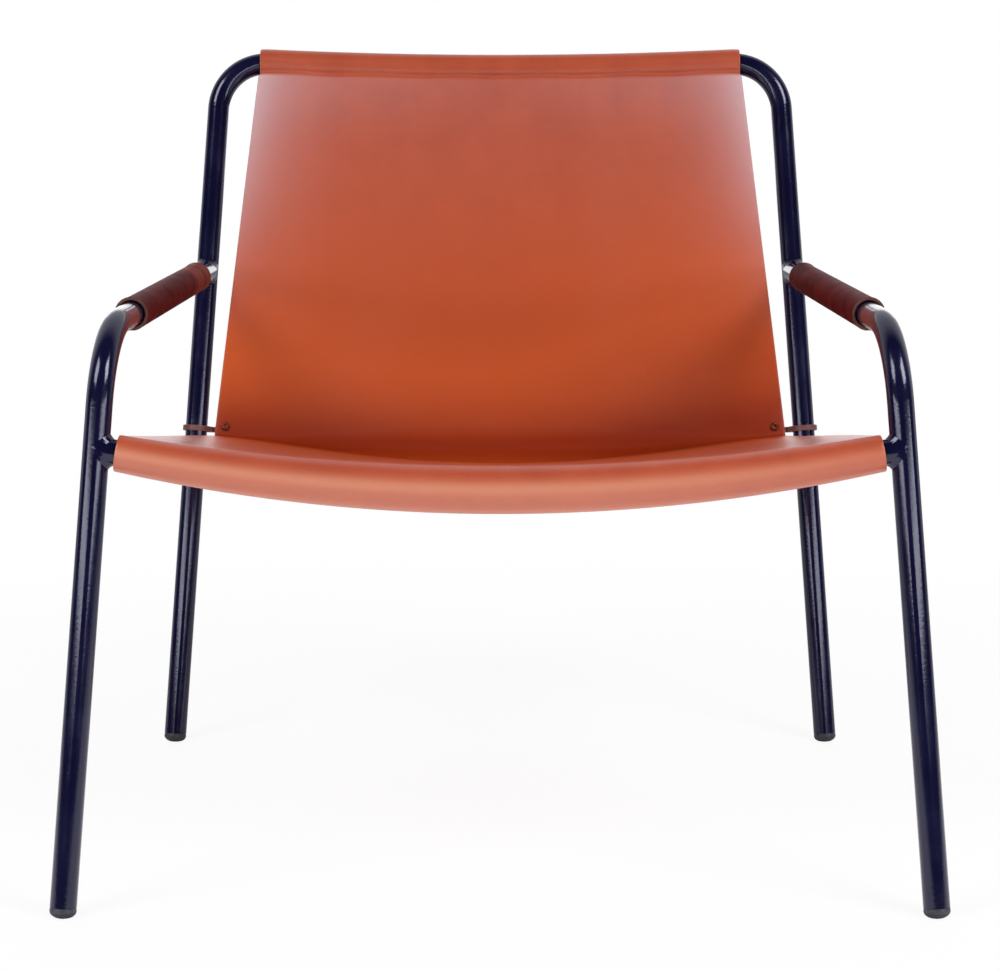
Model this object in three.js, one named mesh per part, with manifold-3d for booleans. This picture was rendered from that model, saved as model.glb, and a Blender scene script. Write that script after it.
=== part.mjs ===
// Leather sling lounge chair: a welded tube frame with a saddle leather sling.
// Millimetres, +Z up. The chair faces -Y, and the origin is on the floor under the middle of its box.
import * as THREE from "three";
import { mergeVertices } from "three/addons/utils/BufferGeometryUtils.js";
import Module from "manifold-3d";

// Tube
const TUBE_DIAMETER = 22;
const TUBE_WALL = 2;
const FIT_GAP = 0.3;

// Front legs and arms. Spreads are half widths between tube axes on the floor.
const FRONT_FOOT_SPREAD = 356;
const FRONT_LEG_SPLAY_ANGLE = 3.9;
const FRONT_LEG_RAKE_ANGLE = 11.9;
const ARM_HEIGHT = 469;
const ARM_BEND_RADIUS = 76;

// Back frame
const FOOT_SPACING = 511;
const REAR_FOOT_SPREAD = 331.5;
const BACK_SPLAY_ANGLE = 3.7;
const BACK_LEAN_ANGLE = 13;
const TOP_RAIL_HEIGHT = 681;
const TOP_BEND_RADIUS = 52;
const TOP_RAIL_END_ANGLE = 12;

// Front rail
const FRONT_RAIL_HEIGHT = 372.5;
const FRONT_RAIL_DIP = 28.3;
const WELD_SIZE = 3;

// Foot glides
const GLIDE_CAP_HEIGHT = 8;
const GLIDE_DOME_HEIGHT = 5;
const GLIDE_WORN_DEPTH = 1.5;
const GLIDE_STEM_LENGTH = 18;

// Sling
const LEATHER = 3.5;
const POCKET_CLEARANCE = 0.6;
const FRONT_POCKET_SLACK = 5;
const FRONT_TUCK = 0.8;
const TOP_TUCK = 4;
const TUCK_RADIUS = 8;
const FLAP_WRAP_ANGLE = 20;
const FLAP_SEAM_START = 70;
const FLAP_SEAM_WIDTH = 25;
const FRONT_REVEAL = 6;
const TIE_REVEAL = 8.4;
const TOP_OVERLAP = 8;
const FOLD_HEIGHT = 302;
const FOLD_SAG = 31.6;
const FOLD_SAG_POWER = 1.5;
const FOLD_BOW = 26;
const FOLD_EDGE_RADIUS = 5;
const FOLD_MIDDLE_RADIUS = 60;

// Arm sleeves
const SLEEVE_LEATHER = 3;
const SLEEVE_FRONT_REVEAL = 52;
const SLEEVE_REAR_REVEAL = 68;
const SLEEVE_SEAM_GAP = 1;

// Ties at the sling's fold
const TIE_RISE = 9;
const STRAP_WIDTH = 5.5;
const STRAP_THICKNESS = 2.5;
const STRAP_TAIL = 6.5;
const STRAP_SLACK = 0.9;
const STRAP_BEND_RADIUS = 3;
const RIVET_INSET = 11;
const RIVET_RISE = 12.5;
const RIVET_HEAD_DIAMETER = 8.5;
const RIVET_HEAD_HEIGHT = 2;
const RIVET_RIM_DIAMETER = 6.4;
const RIVET_CUP_DIAMETER = 4.6;
const RIVET_CUP_DEPTH = 1.4;
const RIVET_SHANK_DIAMETER = 4;
const RIVET_TAIL_DIAMETER = 6;
const RIVET_TAIL_HEIGHT = 1;
const BURR_DIAMETER = 9;
const BURR_THICKNESS = 1.2;

// How finely round stretches are cut
const TUBE_SIDES = 16;
const BEND_STEPS = 8;
const RAIL_STEPS = 8;
const SLING_STRIPS = RAIL_STEPS + 2;
const LOOP_STEPS = 11;
const TUCK_STEPS = 2;
const FLAP_STEPS = 3;
const FOLD_STEPS = 6;
const PANEL_STEPS = 3;
const SMALL_SIDES = 12;
const DOME_STEPS = 5;

const TUBE_RADIUS = TUBE_DIAMETER / 2;
const BORE_RADIUS = TUBE_RADIUS - TUBE_WALL;
const MERGE_DISTANCE = 1e-4;

// How far the cutting bars reach past a joint
const REACH = 4 * TUBE_DIAMETER;

const wasm = await Module();
wasm.setup();

const steel = new THREE.MeshStandardMaterial({ color: 0x14131c, roughness: 0.25, metalness: 0.2 });
const glideRubber = new THREE.MeshStandardMaterial({ color: 0x17161b, roughness: 0.55, metalness: 0 });
const slingLeather = new THREE.MeshStandardMaterial({ color: 0xa8502c, roughness: 0.45, metalness: 0 });
const sleeveLeather = new THREE.MeshStandardMaterial({ color: 0x5c211b, roughness: 0.5, metalness: 0 });
const rivetCopper = new THREE.MeshStandardMaterial({ color: 0xa45c3a, roughness: 0.35, metalness: 0.9 });

const chair = new THREE.Group();

const radians = THREE.MathUtils.degToRad;
const slope = (degrees) => Math.tan(radians(degrees));
const point = (x, y, z) => new THREE.Vector3(x, y, z);
const lerp = THREE.MathUtils.lerp;

// Solids for cutting and joining

function solidOf(geometry) {
  const bare = geometry.clone();
  bare.deleteAttribute("normal");
  bare.deleteAttribute("uv");
  const merged = mergeVertices(bare, MERGE_DISTANCE);
  return new wasm.Manifold(
    new wasm.Mesh({
      numProp: 3,
      vertProperties: new Float32Array(merged.attributes.position.array),
      triVerts: new Uint32Array(merged.index.array),
    }),
  );
}

function geometryOf(solid) {
  const mesh = solid.getMesh();
  const geometry = new THREE.BufferGeometry();
  geometry.setAttribute("position", new THREE.BufferAttribute(new Float32Array(mesh.vertProperties), 3));
  geometry.setIndex(new THREE.BufferAttribute(new Uint32Array(mesh.triVerts), 1));
  geometry.computeVertexNormals();
  return geometry;
}

// A round bar between two points
function rod(radius, from, to, sides = TUBE_SIDES) {
  const along = to.clone().sub(from);
  const bar = new THREE.CylinderGeometry(radius, radius, along.length(), sides);
  const turn = new THREE.Quaternion().setFromUnitVectors(point(0, 1, 0), along.clone().normalize());
  bar.applyQuaternion(turn);
  const middle = from.clone().add(to).multiplyScalar(0.5);
  return bar.translate(middle.x, middle.y, middle.z);
}

function addPiece(name, geometry, material) {
  const mesh = new THREE.Mesh(geometry, material);
  mesh.name = name;
  chair.add(mesh);
  return mesh;
}

// A piece on the right and its mirror image on the left
function addPair(name, geometry, material) {
  addPiece(`${name}_right`, geometry, material);
  addPiece(`${name}_left`, geometry, material).scale.x = -1;
}

// A path through chosen stations, so that straight runs take one step and bends take several
class StationPath extends THREE.Curve {
  constructor(stations) {
    super();
    this.stations = stations;
  }

  getPoint(t, target = point(0, 0, 0)) {
    const last = this.stations.length - 1;
    const place = THREE.MathUtils.clamp(t, 0, 1) * last;
    const index = Math.min(Math.floor(place), last - 1);
    return target.lerpVectors(this.stations[index], this.stations[index + 1], place - index);
  }

  getUtoTmapping(u) {
    return u;
  }
}

function sweep(section, stations) {
  return new THREE.ExtrudeGeometry(section, {
    steps: stations.length - 1,
    curveSegments: TUBE_SIDES / 2,
    bevelEnabled: false,
    extrudePath: new StationPath(stations),
  });
}

const roundSection = (radius) => new THREE.Shape().absarc(0, 0, radius, 0, 2 * Math.PI);

function bentTube(stations) {
  const section = roundSection(TUBE_RADIUS);
  section.holes.push(new THREE.Path().absarc(0, 0, BORE_RADIUS, 0, 2 * Math.PI));
  return sweep(section, stations);
}

// A solid bar along a tube's path, thicker than the tube by the given allowance
const barAlong = (stations, allowance) => solidOf(sweep(roundSection(TUBE_RADIUS + allowance), stations));

// Stations round a bend of the given radius at a corner between two directions
function bend(corner, arriving, leaving, radius, steps) {
  const turn = arriving.angleTo(leaving);
  const reach = radius * Math.tan(turn / 2);
  const start = corner.clone().addScaledVector(arriving, -reach);
  const inward = leaving.clone().addScaledVector(arriving, -Math.cos(turn)).normalize();
  const centre = start.clone().addScaledVector(inward, radius);
  const stations = [];
  for (let step = 0; step <= steps; step += 1) {
    const angle = (turn * step) / steps;
    const station = centre.clone().addScaledVector(inward, -radius * Math.cos(angle));
    stations.push(station.addScaledVector(arriving, radius * Math.sin(angle)));
  }
  return stations;
}

// Frame lines on the right-hand side, by height

function frontLegAt(z) {
  return point(FRONT_FOOT_SPREAD - slope(FRONT_LEG_SPLAY_ANGLE) * z, slope(FRONT_LEG_RAKE_ANGLE) * z, z);
}

function rearLegAt(z) {
  return point(REAR_FOOT_SPREAD - slope(BACK_SPLAY_ANGLE) * z, FOOT_SPACING + slope(BACK_LEAN_ANGLE) * z, z);
}

const directionOf = (line) => line(1).sub(line(0)).normalize();
const frontLegUp = directionOf(frontLegAt);
const rearLegUp = directionOf(rearLegAt);
const backward = point(0, Math.cos(radians(BACK_LEAN_ANGLE)), -Math.sin(radians(BACK_LEAN_ANGLE)));

// Back frame: right foot, bend, bowed top rail, bend, left foot

const mirrored = (station) => point(-station.x, station.y, station.z);

function topBend() {
  const corner = rearLegAt(TOP_RAIL_HEIGHT);
  const railStart = point(-Math.cos(radians(TOP_RAIL_END_ANGLE)), 0, 0);
  railStart.addScaledVector(backward, Math.sin(radians(TOP_RAIL_END_ANGLE)));
  return bend(corner, rearLegUp, railStart, TOP_BEND_RADIUS, BEND_STEPS);
}

// The rail is an arc from bend to bend that leaves each bend without a kink
function topRail(railEnd) {
  const arcRadius = railEnd.x / Math.sin(radians(TOP_RAIL_END_ANGLE));
  const stations = [];
  for (let step = 1; step < RAIL_STEPS; step += 1) {
    const angle = radians(TOP_RAIL_END_ANGLE) * (1 - (2 * step) / RAIL_STEPS);
    const bow = arcRadius * (Math.cos(angle) - Math.cos(radians(TOP_RAIL_END_ANGLE)));
    const station = point(arcRadius * Math.sin(angle), railEnd.y, railEnd.z);
    stations.push(station.addScaledVector(backward, bow));
  }
  return stations;
}

const rightTopBend = topBend();
const topRailEnd = rightTopBend[rightTopBend.length - 1];
const topRun = [...rightTopBend, ...topRail(topRailEnd), ...rightTopBend.map(mirrored).reverse()];
const rearTubeEnd = rearLegAt(0).addScaledVector(rearLegUp, GLIDE_CAP_HEIGHT);
const backFrameRun = [rearTubeEnd, ...topRun, mirrored(rearTubeEnd)];
addPiece("back_frame", bentTube(backFrameRun), steel);

// Where the top rail's axis is at a given x
function topRailAt(x) {
  const next = topRun.findIndex((station) => station.x <= x);
  const before = topRun[next - 1];
  const after = topRun[next];
  return before.clone().lerp(after, (before.x - x) / (before.x - after.x));
}

// Side frames: front foot, bend, arm up to the back frame's rear leg

const armCorner = frontLegAt(ARM_HEIGHT);
const armEnd = rearLegAt(ARM_HEIGHT);
const armBack = armEnd.clone().sub(armCorner).normalize();
const armBend = bend(armCorner, frontLegUp, armBack, ARM_BEND_RADIUS, BEND_STEPS);
const armBendEnd = armBend[armBend.length - 1];
const frontTubeEnd = frontLegAt(0).addScaledVector(frontLegUp, GLIDE_CAP_HEIGHT);

const sideFrameRun = [frontTubeEnd, ...armBend, armEnd];

// The arm's end is cut to a saddle that sits on the back frame
const sideFrame = solidOf(bentTube(sideFrameRun)).subtract(barAlong(backFrameRun, FIT_GAP));
addPair("side_frame", geometryOf(sideFrame), steel);

// Where the front leg's axis is at a given height, also round its bend
function sideFrameAt(z) {
  const next = sideFrameRun.findIndex((station) => station.z >= z);
  const before = sideFrameRun[next - 1];
  const after = sideFrameRun[next];
  return before.clone().lerp(after, (z - before.z) / (after.z - before.z));
}

// Front rail: a shallow arc between the front legs

const railJoint = sideFrameAt(FRONT_RAIL_HEIGHT);
const railArcRadius = (railJoint.x ** 2 + FRONT_RAIL_DIP ** 2) / (2 * FRONT_RAIL_DIP);
const railEndAngle = Math.asin(railJoint.x / railArcRadius);

function frontRailAt(x) {
  const rise = railArcRadius - Math.sqrt(railArcRadius ** 2 - x ** 2);
  return point(x, railJoint.y, FRONT_RAIL_HEIGHT - FRONT_RAIL_DIP + rise);
}

const railStations = [];
for (let step = 0; step <= RAIL_STEPS; step += 1) {
  const angle = railEndAngle * (1 - (2 * step) / RAIL_STEPS);
  railStations.push(frontRailAt(railArcRadius * Math.sin(angle)));
}
const frontRail = solidOf(bentTube(railStations))
  .subtract(barAlong(sideFrameRun, FIT_GAP))
  .subtract(barAlong(sideFrameRun.map(mirrored), FIT_GAP));
addPiece("front_rail", geometryOf(frontRail), steel);

// A weld bead: the ring round a tube's end, against the tube that it is welded to
function weldBead(joint, along, throughRun) {
  const start = joint.clone().addScaledVector(along, -REACH);
  const past = joint.clone().addScaledVector(along, REACH);
  return solidOf(rod(TUBE_RADIUS + WELD_SIZE, start, joint))
    .intersect(barAlong(throughRun, WELD_SIZE))
    .subtract(solidOf(rod(TUBE_RADIUS + FIT_GAP, start, past)))
    .subtract(barAlong(throughRun, FIT_GAP));
}

const railOutward = railStations[0].clone().sub(railStations[1]).normalize();
addPair("weld_arm", geometryOf(weldBead(armEnd, armBack, backFrameRun)), steel);
addPair("weld_front_rail", geometryOf(weldBead(railJoint, railOutward, sideFrameRun)), steel);

// Foot glides: a domed cap, worn flat on the floor, with a stem in the tube

function footGlide(foot, legUp) {
  const shoulder = GLIDE_CAP_HEIGHT - FIT_GAP;
  const stemRadius = BORE_RADIUS - FIT_GAP;
  const domeDepth = GLIDE_DOME_HEIGHT + GLIDE_WORN_DEPTH;
  const profile = [];
  for (let step = 0; step <= DOME_STEPS; step += 1) {
    const angle = (Math.PI / 2) * (1 - step / DOME_STEPS);
    const depth = GLIDE_DOME_HEIGHT - domeDepth * Math.sin(angle);
    profile.push(new THREE.Vector2(step === 0 ? 0 : TUBE_RADIUS * Math.cos(angle), depth));
  }
  profile.push(new THREE.Vector2(TUBE_RADIUS, shoulder));
  profile.push(new THREE.Vector2(stemRadius, shoulder));
  profile.push(new THREE.Vector2(stemRadius, shoulder + GLIDE_STEM_LENGTH));
  profile.push(new THREE.Vector2(0, shoulder + GLIDE_STEM_LENGTH));
  const plug = new THREE.LatheGeometry(profile, TUBE_SIDES);
  plug.applyQuaternion(new THREE.Quaternion().setFromUnitVectors(point(0, 1, 0), legUp));
  plug.translate(foot.x, foot.y, foot.z);
  const floor = new THREE.BoxGeometry(REACH, REACH, REACH);
  floor.translate(foot.x, foot.y, foot.z - REACH / 2);
  return geometryOf(solidOf(plug).subtract(solidOf(floor)));
}

addPair("foot_glide_front", footGlide(frontLegAt(0), frontLegUp), glideRubber);
addPair("foot_glide_rear", footGlide(rearLegAt(0), rearLegUp), glideRubber);

// Sling. A section runs across the chair's depth: flap under the front rail, round the rail, seat, fold,
// back, round the top rail, flap behind it. Sections are drawn in y and z and placed at their own x.

const innerFace = (axis) => axis.x - TUBE_RADIUS;
const halfFront = innerFace(railJoint) - FRONT_REVEAL;
const halfFold = innerFace(rearLegAt(FOLD_HEIGHT)) - TIE_REVEAL;
const halfTop = topRailEnd.x + TOP_OVERLAP;
const loopRadius = TUBE_RADIUS + POCKET_CLEARANCE + LEATHER / 2;

const flat = (place) => new THREE.Vector2(place.y, place.z);

// The corner where the seat's line and the back's line would meet, across the width from -1 to 1
function foldCorner(across) {
  const inward = 1 - across ** 2;
  const height = FOLD_HEIGHT - FOLD_SAG * inward ** FOLD_SAG_POWER;
  return new THREE.Vector2(rearLegAt(height).y + FOLD_BOW * inward ** 2, height);
}

// Where a line from a point touches a circle, on the side given by the sign
function touch(centre, radius, from, side) {
  const away = from.clone().sub(centre);
  const angle = away.angle() + side * Math.acos(radius / away.length());
  return centre.clone().add(new THREE.Vector2(Math.cos(angle), Math.sin(angle)).multiplyScalar(radius));
}

// From the panel up to a rail, tucked in under it, in a loop round it, and as a flap back to the panel.
// The contact is the panel's nearest point to the rail's axis.
function pocket(centre, radius, contact, corner) {
  const along = corner.clone().sub(contact).normalize();
  const across = centre.clone().sub(contact).normalize();
  const place = (origin, run, rise) =>
    origin.clone().addScaledVector(along, run).addScaledVector(across, rise);
  const wrap = radians(FLAP_WRAP_ANGLE);
  const tuckRise = contact.distanceTo(centre) + TUCK_RADIUS;
  const tuckAngle = Math.acos(tuckRise / (radius + TUCK_RADIUS));
  const tuckRun = (radius + TUCK_RADIUS) * Math.sin(tuckAngle);
  const points = [];
  for (let step = 0; step < TUCK_STEPS; step += 1) {
    const angle = (tuckAngle * step) / TUCK_STEPS;
    const run = tuckRun - TUCK_RADIUS * Math.sin(angle);
    points.push(place(centre, run, TUCK_RADIUS * Math.cos(angle) - tuckRise));
  }
  for (let step = 0; step <= LOOP_STEPS; step += 1) {
    const angle = lerp(-tuckAngle, Math.PI + wrap, step / LOOP_STEPS);
    points.push(place(centre, -radius * Math.sin(angle), -radius * Math.cos(angle)));
  }
  const leave = points[points.length - 1];
  const lap = LEATHER + FIT_GAP;
  const seam = place(contact, FLAP_SEAM_START, lap);
  const handle = leave.distanceTo(seam) / 3;
  const flap = new THREE.CubicBezierCurve(
    leave,
    place(leave, handle * Math.cos(wrap), -handle * Math.sin(wrap)),
    place(contact, FLAP_SEAM_START - handle, lap),
    seam,
  );
  points.push(...flap.getPoints(FLAP_STEPS).slice(1));
  points.push(place(contact, FLAP_SEAM_START + FLAP_SEAM_WIDTH, lap));
  return points;
}

function foldArc(seatContact, corner, backContact, radius) {
  const arriving = corner.clone().sub(seatContact).normalize();
  const leaving = backContact.clone().sub(corner).normalize();
  const lift = (v) => point(0, v.x, v.y);
  return bend(lift(corner), lift(arriving), lift(leaving), radius, FOLD_STEPS).map(flat);
}

// Stations of one section as points on the middle of the leather
function slingSection(across) {
  const inward = 1 - across ** 2;
  const frontAxis = frontRailAt(across * halfFront);
  const topCentre = flat(topRailAt(across * halfTop));
  const corner = foldCorner(across);
  // The front pocket hangs on the rail's top and is wider towards the middle
  const slack = FRONT_POCKET_SLACK * inward;
  const frontRadius = loopRadius + slack;
  const frontCentre = new THREE.Vector2(frontAxis.y, frontAxis.z - slack);
  const seatContact = touch(frontCentre, frontRadius - FRONT_TUCK, corner, 1);
  const backContact = touch(topCentre, loopRadius - TOP_TUCK, corner, -1);
  const foldRadius = lerp(FOLD_EDGE_RADIUS, FOLD_MIDDLE_RADIUS, inward ** 2);
  const fold = foldArc(seatContact, corner, backContact, foldRadius);
  const railSlope = frontAxis.x / Math.sqrt(railArcRadius ** 2 - frontAxis.x ** 2);
  // The loop round the sloping rail is square to it
  const lean = (place) => -railSlope * (place.y - frontAxis.z);
  const stations = [];
  const put = (place, half, shift) => stations.push(point(across * half + shift, place.x, place.y));
  for (const place of pocket(frontCentre, frontRadius, seatContact, corner).reverse()) {
    put(place, halfFront, lean(place));
  }
  for (let step = 1; step < PANEL_STEPS; step += 1) {
    const share = step / PANEL_STEPS;
    const place = seatContact.clone().lerp(fold[0], share);
    put(place, lerp(halfFront, halfFold, share), lean(seatContact) * (1 - share));
  }
  fold.forEach((place) => put(place, halfFold, 0));
  const foldEnd = fold[fold.length - 1];
  for (let step = 1; step < PANEL_STEPS; step += 1) {
    const share = step / PANEL_STEPS;
    put(foldEnd.clone().lerp(backContact, share), lerp(halfFold, halfTop, share), 0);
  }
  pocket(topCentre, loopRadius, backContact, corner).forEach((place) => put(place, halfTop, 0));
  return stations;
}

// The section moved to one face of the leather
function sectionFace(stations, side) {
  return stations.map((station, index) => {
    const before = stations[Math.max(index - 1, 0)];
    const after = stations[Math.min(index + 1, stations.length - 1)];
    const normal = point(0, before.z - after.z, after.y - before.y).normalize();
    return station.clone().addScaledVector(normal, (side * LEATHER) / 2);
  });
}

// Places of the strips' edges across the width.
// The first and last strips lie over the ends of the top bends.
function stripPlace(strip) {
  if (strip === 0) {
    return -1;
  }
  if (strip === SLING_STRIPS) {
    return 1;
  }
  const innerStrips = SLING_STRIPS - 2;
  return ((2 * (strip - 1)) / innerStrips - 1) * (topRailEnd.x / halfTop);
}

function slingSheet() {
  const upper = [];
  const lower = [];
  for (let strip = 0; strip <= SLING_STRIPS; strip += 1) {
    const section = slingSection(stripPlace(strip));
    upper.push(sectionFace(section, 1));
    lower.push(sectionFace(section, -1));
  }
  const corners = [];
  const quad = (a, b, c, d) => corners.push(a, b, c, a, c, d);
  const lastStation = upper[0].length - 1;
  for (let strip = 0; strip < SLING_STRIPS; strip += 1) {
    for (let station = 0; station < lastStation; station += 1) {
      const next = station + 1;
      quad(upper[strip][station], upper[strip + 1][station], upper[strip + 1][next], upper[strip][next]);
      quad(lower[strip][station], lower[strip][next], lower[strip + 1][next], lower[strip + 1][station]);
    }
    quad(lower[strip][0], lower[strip + 1][0], upper[strip + 1][0], upper[strip][0]);
    quad(
      upper[strip][lastStation],
      upper[strip + 1][lastStation],
      lower[strip + 1][lastStation],
      lower[strip][lastStation],
    );
  }
  for (let station = 0; station < lastStation; station += 1) {
    const next = station + 1;
    quad(lower[0][station], upper[0][station], upper[0][next], lower[0][next]);
    quad(
      upper[SLING_STRIPS][station],
      lower[SLING_STRIPS][station],
      lower[SLING_STRIPS][next],
      upper[SLING_STRIPS][next],
    );
  }
  return new THREE.BufferGeometry().setFromPoints(corners);
}

// Ties. Each strap lies in a plane square to its rear leg: u runs outwards from the leg, v backwards.

const tieCentre = rearLegAt(FOLD_HEIGHT + TIE_RISE);
const tieOutward = backward.clone().cross(rearLegUp);
const tieFrame = new THREE.Matrix4().makeBasis(tieOutward, backward, rearLegUp).setPosition(tieCentre);
const slingEdge = halfFold - tieCentre.x;
const strapLap = LEATHER / 2 + FIT_GAP + STRAP_SLACK + STRAP_THICKNESS / 2;
const secondLap = strapLap + STRAP_THICKNESS + FIT_GAP;
const rivetPlace = slingEdge - RIVET_INSET;
const strapEnd = rivetPlace - STRAP_TAIL;

// Behind the sling's edge, across to the front of the leg, round it and back behind the first end
function strapStations() {
  const radius = TUBE_RADIUS + FIT_GAP + STRAP_THICKNESS / 2;
  const centre = new THREE.Vector2(0, 0);
  const turnIn = new THREE.Vector2(slingEdge + STRAP_BEND_RADIUS, strapLap);
  const frontTouch = touch(centre, radius, turnIn, 1);
  const turnBack = new THREE.Vector2(slingEdge, secondLap);
  const rearTouch = touch(centre, radius, turnBack, -1);
  const lift = (v) => point(v.x, v.y, 0);
  const outward = point(1, 0, 0);
  const toFront = lift(frontTouch.clone().sub(turnIn).normalize());
  const toSling = lift(turnBack.clone().sub(rearTouch).normalize());
  const stations = [point(strapEnd, strapLap, 0)];
  stations.push(...bend(lift(turnIn), outward, toFront, STRAP_BEND_RADIUS, BEND_STEPS / 2));
  const startAngle = frontTouch.angle();
  const endAngle = rearTouch.angle() + 2 * Math.PI;
  const wrapSteps = 2 * BEND_STEPS;
  for (let step = 0; step <= wrapSteps; step += 1) {
    const angle = lerp(startAngle, endAngle, step / wrapSteps);
    stations.push(point(radius * Math.cos(angle), radius * Math.sin(angle), 0));
  }
  const inward = outward.clone().negate();
  stations.push(...bend(lift(turnBack), toSling, inward, STRAP_BEND_RADIUS, BEND_STEPS / 2));
  stations.push(point(strapEnd, secondLap, 0));
  return stations;
}

const rivetHeight = RIVET_RISE - TIE_RISE;
const rivetAt = (v) => point(rivetPlace, v, rivetHeight).applyMatrix4(tieFrame);
const shank = RIVET_SHANK_DIAMETER / 2;
const rivetBore = (at) => solidOf(rod(shank + FIT_GAP, at(-REACH), at(REACH), SMALL_SIDES));

function tieStrap() {
  const section = new THREE.Shape();
  section.moveTo(-STRAP_WIDTH / 2, -STRAP_THICKNESS / 2);
  section.lineTo(STRAP_WIDTH / 2, -STRAP_THICKNESS / 2);
  section.lineTo(STRAP_WIDTH / 2, STRAP_THICKNESS / 2);
  section.lineTo(-STRAP_WIDTH / 2, STRAP_THICKNESS / 2);
  const strap = sweep(section, strapStations()).applyMatrix4(tieFrame);
  return geometryOf(solidOf(strap).subtract(rivetBore(rivetAt)));
}

// Turned profile along the rivet's axis, which runs backwards through the sling
function turned(profile) {
  const part = new THREE.LatheGeometry(
    profile.map(([radius, along]) => new THREE.Vector2(radius, along)),
    SMALL_SIDES,
  );
  return part.translate(rivetPlace, 0, rivetHeight).applyMatrix4(tieFrame);
}

const slingFace = LEATHER / 2 + FIT_GAP;
const headTop = slingFace + RIVET_HEAD_HEIGHT;
const burrStart = secondLap + STRAP_THICKNESS / 2 + FIT_GAP;
const tailStart = burrStart + BURR_THICKNESS + FIT_GAP;

const sling = solidOf(slingSheet())
  .subtract(rivetBore(rivetAt))
  .subtract(rivetBore((v) => mirrored(rivetAt(v))));
addPiece("sling", geometryOf(sling), slingLeather);
addPair("tie_strap", tieStrap(), slingLeather);
addPair(
  "tie_rivet",
  turned([
    [0, RIVET_CUP_DEPTH - headTop],
    [RIVET_CUP_DIAMETER / 2, RIVET_CUP_DEPTH - headTop],
    [RIVET_CUP_DIAMETER / 2, -headTop],
    [RIVET_RIM_DIAMETER / 2, -headTop],
    [RIVET_HEAD_DIAMETER / 2, -slingFace],
    [shank, -slingFace],
    [shank, tailStart],
    [RIVET_TAIL_DIAMETER / 2, tailStart],
    [shank, tailStart + RIVET_TAIL_HEIGHT],
    [0, tailStart + RIVET_TAIL_HEIGHT],
  ]),
  rivetCopper,
);
addPair(
  "tie_burr",
  turned([
    [shank + FIT_GAP, burrStart],
    [BURR_DIAMETER / 2, burrStart],
    [BURR_DIAMETER / 2, burrStart + BURR_THICKNESS],
    [shank + FIT_GAP, burrStart + BURR_THICKNESS],
    [shank + FIT_GAP, burrStart],
  ]),
  rivetCopper,
);

// Arm sleeves: leather rolled round the arm, its two edges meeting under it

function armSleeve() {
  const inner = TUBE_RADIUS + FIT_GAP;
  const outer = inner + SLEEVE_LEATHER;
  const from = armBendEnd.clone().addScaledVector(armBack, SLEEVE_FRONT_REVEAL);
  const to = armEnd.clone().addScaledVector(armBack, -SLEEVE_REAR_REVEAL);
  const seam = SLEEVE_SEAM_GAP / 2 / outer;
  const section = new THREE.Shape().absarc(0, 0, outer, -Math.PI / 2 + seam, 1.5 * Math.PI - seam);
  section.absarc(0, 0, inner, 1.5 * Math.PI - seam, -Math.PI / 2 + seam, true);
  const sleeve = new THREE.ExtrudeGeometry(section, {
    depth: from.distanceTo(to),
    curveSegments: TUBE_SIDES / 2,
    bevelEnabled: false,
  });
  const side = point(0, 0, 1).cross(armBack).normalize();
  const up = armBack.clone().cross(side);
  return sleeve.applyMatrix4(new THREE.Matrix4().makeBasis(side, up, armBack).setPosition(from));
}

addPair("arm_sleeve", armSleeve(), sleeveLeather);

// The origin stands under the middle of the chair's box
const middle = new THREE.Box3().setFromObject(chair, true).getCenter(point(0, 0, 0));
chair.children.forEach((piece) => {
  piece.position.y = -middle.y;
});

export default chair;
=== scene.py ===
"""Looks of the leather sling lounge chair, in metres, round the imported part.

Tubes, sling, sleeves and ties repeat the part's own sizes with finer steps and the softness of leather."""

import math

import bmesh
import bpy
import numpy as np
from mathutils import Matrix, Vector


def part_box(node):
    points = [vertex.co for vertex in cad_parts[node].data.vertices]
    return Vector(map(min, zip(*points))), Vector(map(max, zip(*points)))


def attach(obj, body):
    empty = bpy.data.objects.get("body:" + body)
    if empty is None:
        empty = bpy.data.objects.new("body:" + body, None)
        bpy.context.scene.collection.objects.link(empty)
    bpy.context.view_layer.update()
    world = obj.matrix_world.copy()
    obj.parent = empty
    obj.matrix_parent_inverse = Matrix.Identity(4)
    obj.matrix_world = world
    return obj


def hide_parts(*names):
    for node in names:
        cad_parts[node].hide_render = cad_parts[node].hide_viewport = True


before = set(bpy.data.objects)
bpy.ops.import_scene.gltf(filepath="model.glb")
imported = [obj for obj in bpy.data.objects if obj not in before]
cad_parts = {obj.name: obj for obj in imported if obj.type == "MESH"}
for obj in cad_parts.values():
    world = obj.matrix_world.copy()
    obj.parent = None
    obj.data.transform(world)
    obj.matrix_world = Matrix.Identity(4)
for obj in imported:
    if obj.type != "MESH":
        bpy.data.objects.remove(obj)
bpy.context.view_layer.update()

# Tube
TUBE_RADIUS = 0.011
BORE_RADIUS = 0.009
FIT_GAP = 0.0003

# Front legs and arms. Spreads are half widths between tube axes on the floor.
FRONT_FOOT_SPREAD = 0.356
FRONT_LEG_SPLAY = math.radians(3.9)
FRONT_LEG_RAKE = math.radians(11.9)
ARM_HEIGHT = 0.469
ARM_BEND_RADIUS = 0.076

# Back frame
FOOT_SPACING = 0.511
REAR_FOOT_SPREAD = 0.3315
BACK_SPLAY = math.radians(3.7)
BACK_LEAN = math.radians(13)
TOP_RAIL_HEIGHT = 0.681
TOP_BEND_RADIUS = 0.052
TOP_RAIL_END_ANGLE = math.radians(12)

# Front rail
FRONT_RAIL_HEIGHT = 0.3725
FRONT_RAIL_DIP = 0.0283

# Weld beads
WELD_LEG = 0.0036
WELD_FILL = 0.30
WELD_BULGE = 0.0003
WELD_TURN = 0.35
WELD_RIPPLE = 0.05
WELD_RIPPLES = 22

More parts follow.
